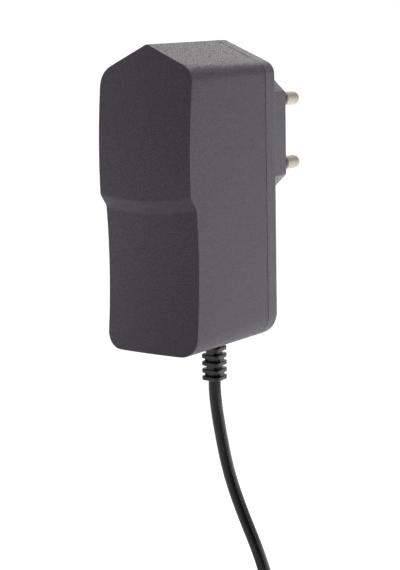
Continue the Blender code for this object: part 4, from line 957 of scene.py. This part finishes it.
def make_rear_cover(materials):
    """The cover: rounded rear edge, rounded rim at the seam, tongue, plug boss and pin holes."""
    bm = bmesh.new()
    rings = [flat_ring(BOSS_DEPTH, 2 * COVER_EDGE_RADIUS)]
    rings += [flat_ring(BOSS_DEPTH + along, inset) for along, inset in edge_arc(COVER_EDGE_RADIUS)]
    seam = SEAM_DEPTH - SEAM_GAP / 2
    rings += [flat_ring(BOSS_DEPTH + 2 * COVER_EDGE_RADIUS), flat_ring(seam - 2 * SEAM_CHAMFER)]
    rings += [flat_ring(seam - back, inset) for inset, back in edge_arc(SEAM_CHAMFER)]
    lip = WALL + GAP
    tongue = SEAM_DEPTH + WALL
    rings += [
        flat_ring(seam, lip), flat_ring(tongue, lip), flat_ring(tongue, lip + WALL / 2),
        flat_ring(BOSS_DEPTH + COVER_PLATE, lip + WALL / 2),
    ]
    join_rings(bm, rings)
    piece = finish_piece("rear_cover", bm, materials["cover"], ["back_cover"])
    cut(piece, "boss", boss_mesh(), "UNION")
    hole_radius = SLEEVE_DIAMETER / 2 + GAP
    for height in pin_heights():
        hole = bmesh.new()
        profile = [(hole_radius, -BOSS_EDGE), (hole_radius, WALL)]
        join_rings(hole, turned_rings(profile, (0, 0, height), (0, -1, 0)))
        cut(piece, "pin_hole", hole)
    even_shading(piece)


# Pins


def pin_heights():
    """Heights of the two pins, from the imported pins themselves."""
    centres = []
    for side in PIN_SIDES:
        low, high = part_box("plug_pin_" + side)
        centres.append((low.z + high.z) / 2)
    return centres


def pin_profile(start):
    """Turned pin from its hidden end: thin neck, shoulder, full shank and round tip."""
    radius = PIN_DIAMETER / 2
    neck = PIN_NECK_DIAMETER / 2
    shoulder = SLEEVE_LENGTH + GAP
    profile = [
        (neck, start), (neck, shoulder), (radius - PIN_SHOULDER, shoulder),
        (radius, shoulder + PIN_SHOULDER), (radius, PIN_LENGTH - radius * PIN_TIP_START),
    ]
    for step in range(ARC_STEPS):
        angle = step / ARC_STEPS * math.pi / 2
        profile.append((radius * math.cos(angle), PIN_LENGTH - radius + radius * math.sin(angle)))
    profile.append((radius * PIN_TIP_FLAT, PIN_LENGTH))
    return profile


def sleeve_profile(start):
    """Turned sleeve round the pin's neck, its outer edge broken at the free end."""
    outer = SLEEVE_DIAMETER / 2
    inner = PIN_NECK_DIAMETER / 2 + GAP
    return [
        (inner, start), (outer, start), (outer, SLEEVE_LENGTH - PIN_SHOULDER),
        (outer - PIN_SHOULDER, SLEEVE_LENGTH), (inner, SLEEVE_LENGTH), (inner, start),
    ]


def make_pins(materials):
    for height, side in zip(pin_heights(), PIN_SIDES):
        base = Vector((0, 0, height))
        pin, sleeve = "plug_pin_" + side, "pin_sleeve_" + side
        turned_piece(
            "pin_" + side, pin_profile(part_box(pin)[0].y), base, (0, 1, 0),
            materials["nickel"], [pin],
        )
        turned_piece(
            "sleeve_" + side, sleeve_profile(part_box(sleeve)[0].y), base, (0, 1, 0),
            materials["sleeve"], [sleeve], closed=False,
        )


# Strain relief


def relief_sections():
    """Stack of (width, corner radius, height) from inside the housing down to the last ring."""
    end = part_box("strain_relief")[0].z
    last_top = end + RELIEF_RING_HEIGHT
    neck = (RELIEF_NECK_WIDTH, RELIEF_NECK_RADIUS)
    core = (RELIEF_CORE_WIDTH, RELIEF_CORE_RADIUS)
    top = last_top + (RELIEF_RINGS - 1) * RELIEF_RING_PITCH
    stack = [(*neck, top + 2 * WALL), (*neck, top)]
    for index in range(RELIEF_RINGS):
        top = last_top + (RELIEF_RINGS - 1 - index) * RELIEF_RING_PITCH
        bottom = top - RELIEF_RING_HEIGHT
        if index:
            stack.append((*core, top))
        arc = edge_arc(RELIEF_RING_EDGE)
        edges = [(shrink, top - down) for down, shrink in arc]
        edges += [(shrink, bottom + up) for shrink, up in arc]
        for shrink, height in edges:
            stack.append((RELIEF_RING_WIDTH - 2 * shrink, RELIEF_RING_RADIUS - shrink, height))
        if index < RELIEF_RINGS - 1:
            stack.append((*core, bottom))
    return stack


def make_relief(materials):
    """The ribbed relief: square rings with a web in each gap, across and along in turn."""
    centre = relief_centre()
    bm = bmesh.new()
    join_rings(bm, [rounded_square(*section, centre) for section in relief_sections()])
    piece = finish_piece("cord_relief", bm, materials["relief"], ["strain_relief"])
    first_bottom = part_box("strain_relief")[0].z + (RELIEF_RINGS - 1) * RELIEF_RING_PITCH
    overlap = RELIEF_RING_HEIGHT / 3
    long_half = RELIEF_RING_WIDTH / 2 - RELIEF_WEB_INSET
    webs = bmesh.new()
    for index in range(RELIEF_RINGS - 1):
        top = first_bottom - index * RELIEF_RING_PITCH + overlap
        bottom = top - (RELIEF_RING_PITCH - RELIEF_RING_HEIGHT) - 2 * overlap
        half = (RELIEF_WEB / 2, long_half) if index % 2 else (long_half, RELIEF_WEB / 2)
        low = (centre.x - half[0], centre.y - half[1], bottom)
        high = (centre.x + half[0], centre.y + half[1], top)
        box_mesh(webs, low, high)
    cut(piece, "webs", webs, "UNION")
    even_shading(piece)


# Cord fittings


def make_tie(materials):
    """Band round the coil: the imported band's form with its edges rounded off."""
    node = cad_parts["cord_tie"]
    band = bpy.data.objects.new("coil_band", node.data.copy())
    bpy.context.collection.objects.link(band)
    band.matrix_world = node.matrix_world
    bevel = band.modifiers.new("soft_edges", "BEVEL")
    bevel.width = TIE_EDGE
    bevel.segments = 3
    bevel.limit_method = "ANGLE"
    band.data.materials.clear()
    band.data.materials.append(materials["tie"])
    adopt(band, ["cord_tie"])
    return band


def grip_profile(length, full):
    """Turned grip from the cord down: ribbed tail, shoulder, body and the socket in its end."""
    core = CORD_DIAMETER / 2 + 2 * GAP
    pitch = PLUG_TAIL_LENGTH / PLUG_RIBS
    profile = [(CORD_DIAMETER / 2, 0.0), (core, 0.0)]
    for rib in range(PLUG_RIBS):
        share = PLUG_FIRST_RIB + (1 - PLUG_FIRST_RIB) * rib / (PLUG_RIBS - 1)
        radius = core + (PLUG_TAIL_RADIUS - core) * share
        foot, rise, fall, end = [(rib + place) * pitch for place in PLUG_RIB_PLACES]
        profile += [(core, foot), (radius, rise), (radius, fall), (core, end)]
    first, middle, last = [PLUG_TAIL_LENGTH + place for place in PLUG_SHOULDER_PLACES]
    socket = PLUG_SOCKET_DIAMETER / 2 + GAP
    seat = length - PLUG_SOCKET_DEPTH
    profile += [
        (PLUG_TAIL_RADIUS, first), (full - PLUG_SHOULDER_INSET, middle), (full, last),
        (full, length - PLUG_MOUTH_EDGE), (full - PLUG_MOUTH_EDGE, length),
        (socket, length), (socket, seat), (PLUG_AXIS_RADIUS, seat),
    ]
    return rounded(profile, PLUG_ROUNDING)


def tube_profile(bore, outer, length):
    """Turned tube with the edges of its free end broken."""
    edge = CONTACT_EDGE
    return [
        (bore, 0.0), (outer, 0.0), (outer, length - edge), (outer - edge, length),
        (bore + edge, length), (bore, length - edge), (bore, 0.0),
    ]


def make_plug(materials):
    """Finer grip, barrel, insulator and contact of the barrel plug."""
    low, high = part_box("dc_plug_grip")
    top = Vector(((low.x + high.x) / 2, (low.y + high.y) / 2, high.z))
    profile = grip_profile(high.z - low.z, (high.x - low.x) / 2)
    down = (0, 0, -1)
    pieces = [
        turned_piece("plug_grip", profile, top, down, materials["grip"], ["dc_plug_grip"])
    ]
    for name, look, slot, bore in (
        ("plug_barrel", "nickel", "nickel", BARREL_BORE_RADIUS),
        ("plug_insulator", "black", "black_insulation", INSULATOR_BORE_RADIUS),
        ("plug_contact", "nickel", "nickel", CONTACT_BORE_RADIUS),
    ):
        node = "dc_" + name
        low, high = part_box(node)
        profile = tube_profile(bore, (high.x - low.x) / 2, high.z - low.z)
        base = (top.x, top.y, high.z)
        pieces.append(
            turned_piece(name, profile, base, down, materials[look], [node], closed=False)
        )
    return pieces


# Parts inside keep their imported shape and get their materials


def dress_inside(materials):
    looks = {
        "board": ["circuit_board"],
        "resistor": ["fuse_resistor"],
        "epoxy": ["bridge_rectifier", "controller", "optocoupler", "output_diode"],
        "can": ["bulk_capacitor_1", "bulk_capacitor_2", "output_capacitor_1", "output_capacitor_2"],
        "ferrite": [
            "filter_inductor", "output_inductor", "transformer_core_front", "transformer_core_rear",
        ],
        "bobbin": ["transformer_bobbin"],
        "tape": ["transformer_winding"],
        "disc": ["safety_capacitor"],
        "brown": ["input_wire_line"],
        "blue": ["input_wire_neutral"],
        "red": ["output_wire_positive"],
        "black": ["output_wire_negative"],
    }
    for look, names in looks.items():
        for name in names:
            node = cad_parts[name]
            node.data.materials.clear()
            node.data.materials.append(materials[look])


# Studio


def stage_white():
    """Pale grey to the lamps, but white to the camera and in reflections.

    The glow that makes it white rises with the distance from the object, where less light falls.
    """
    material = bpy.data.materials.new("studio_white")
    material.use_nodes = True
    tree = material.node_tree
    shader = tree.nodes["Principled BSDF"]
    shader.inputs["Base Color"].default_value = (0.8, 0.8, 0.8, 1)
    shader.inputs["Roughness"].default_value = 0.9
    rays = tree.nodes.new("ShaderNodeLightPath").outputs
    seen = add_math(tree, "MAXIMUM", rays["Is Camera Ray"], rays["Is Glossy Ray"])
    seen = add_math(tree, "MAXIMUM", seen, rays["Is Transmission Ray"])
    away = tree.nodes.new("ShaderNodeVectorMath")
    away.operation = "LENGTH"
    tree.links.new(tree.nodes.new("ShaderNodeTexCoord").outputs["Object"], away.inputs[0])
    rise = tree.nodes.new("ShaderNodeMapRange")
    tree.links.new(away.outputs["Value"], rise.inputs["Value"])
    rise.inputs["From Min"].default_value = GLOW_NEAR
    rise.inputs["From Max"].default_value = GLOW_FAR
    rise.inputs["To Min"].default_value = FLOOR_GLOW
    rise.inputs["To Max"].default_value = BACKDROP_GLOW
    glow = tree.nodes.new("ShaderNodeEmission")
    tree.links.new(add_math(tree, "MULTIPLY", seen, rise.outputs["Result"]), glow.inputs["Strength"])
    add = tree.nodes.new("ShaderNodeAddShader")
    tree.links.new(shader.outputs["BSDF"], add.inputs[0])
    tree.links.new(glow.outputs["Emission"], add.inputs[1])
    tree.links.new(add.outputs["Shader"], tree.nodes["Material Output"].inputs["Surface"])
    return material


def make_stage():
    """Pale floor that turns up into a backdrop behind the object."""
    floor = cad_box[0][2] - FLOOR_DROP
    profile = [(FLOOR_NEAR, 0.0), (FLOOR_FAR, 0.0)]
    for step in range(1, ARC_STEPS + 1):
        angle = step / ARC_STEPS * math.pi / 2
        along = FLOOR_FAR + SWEEP_RADIUS * math.sin(angle)
        profile.append((along, SWEEP_RADIUS * (1 - math.cos(angle))))
    profile.append((FLOOR_FAR + SWEEP_RADIUS, BACKDROP_HEIGHT))
    turn = Matrix.Rotation(math.radians(CAMERA_AZIMUTH), 4, "Z")
    bm = bmesh.new()
    rows = []
    for along, rise in profile:
        sides = (-STAGE_HALF_WIDTH, STAGE_HALF_WIDTH)
        rows.append([bm.verts.new(turn @ Vector((side, along, floor + rise))) for side in sides])
    for row, following in zip(rows, rows[1:]):
        bm.faces.new((row[0], row[1], following[1], following[0]))
    mesh = bpy.data.meshes.new("studio_sweep")
    bm.to_mesh(mesh)
    bm.free()
    sweep = bpy.data.objects.new("studio_sweep", mesh)
    bpy.context.collection.objects.link(sweep)
    mesh.materials.append(stage_white())
    mesh.shade_smooth()


def add_light(name, place, size, power, target=LIGHT_TARGET):
    """Rectangular lamp of a width and a height, aimed at a point and hidden from the camera."""
    light = bpy.data.lights.new(name, "AREA")
    light.shape = "RECTANGLE"
    light.size, light.size_y = size
    light.energy = power
    lamp = bpy.data.objects.new(name, light)
    bpy.context.collection.objects.link(lamp)
    lamp.location = place
    lamp.rotation_euler = (Vector(target) - Vector(place)).to_track_quat("-Z", "Y").to_euler()
    lamp.visible_camera = False


def make_lights():
    add_light("top_light", (-0.10, -0.08, 0.90), (0.6, 0.6), 2.3)
    add_light("back_light", (-0.19, 0.72, 0.45), (0.4, 0.4), 0.98)
    add_light("side_light", (0.65, 0.50, -0.08), (0.4, 0.2), 1.2)
    add_light("right_fill", (0.60, -0.03, -0.02), (0.05, 0.30), 0.45)
    add_light("low_light", (-0.05, 0.42, -0.19), (0.30, 0.08), 0.40)
    add_light("front_fill", (-0.10, -0.115, 0.025), (0.03, 0.46), 0.060, (0, -0.06, -0.005))
    world = bpy.data.worlds.new("studio")
    bpy.context.scene.world = world
    world.use_nodes = True
    tree = world.node_tree
    background = tree.nodes["Background"]
    background.inputs["Color"].default_value = (1, 1, 1, 1)
    rays = tree.nodes.new("ShaderNodeLightPath").outputs
    level = add_math(tree, "MAXIMUM", rays["Is Camera Ray"], WORLD_LEVEL)
    tree.links.new(level, background.inputs["Strength"])


def main():
    aim_camera()
    cord = make_cord()
    materials = make_materials()
    cord.data.materials.append(materials["cord"])
    adopt(cord, ["dc_cord", "cord_coil", "cord_tail"])
    make_front_housing(materials)
    make_rear_cover(materials)
    make_pins(materials)
    make_relief(materials)
    fittings = [*make_plug(materials), make_tie(materials)]
    dress_inside(materials)
    make_stage()
    make_lights()
    bpy.context.scene.view_settings.view_transform = "Standard"


main()
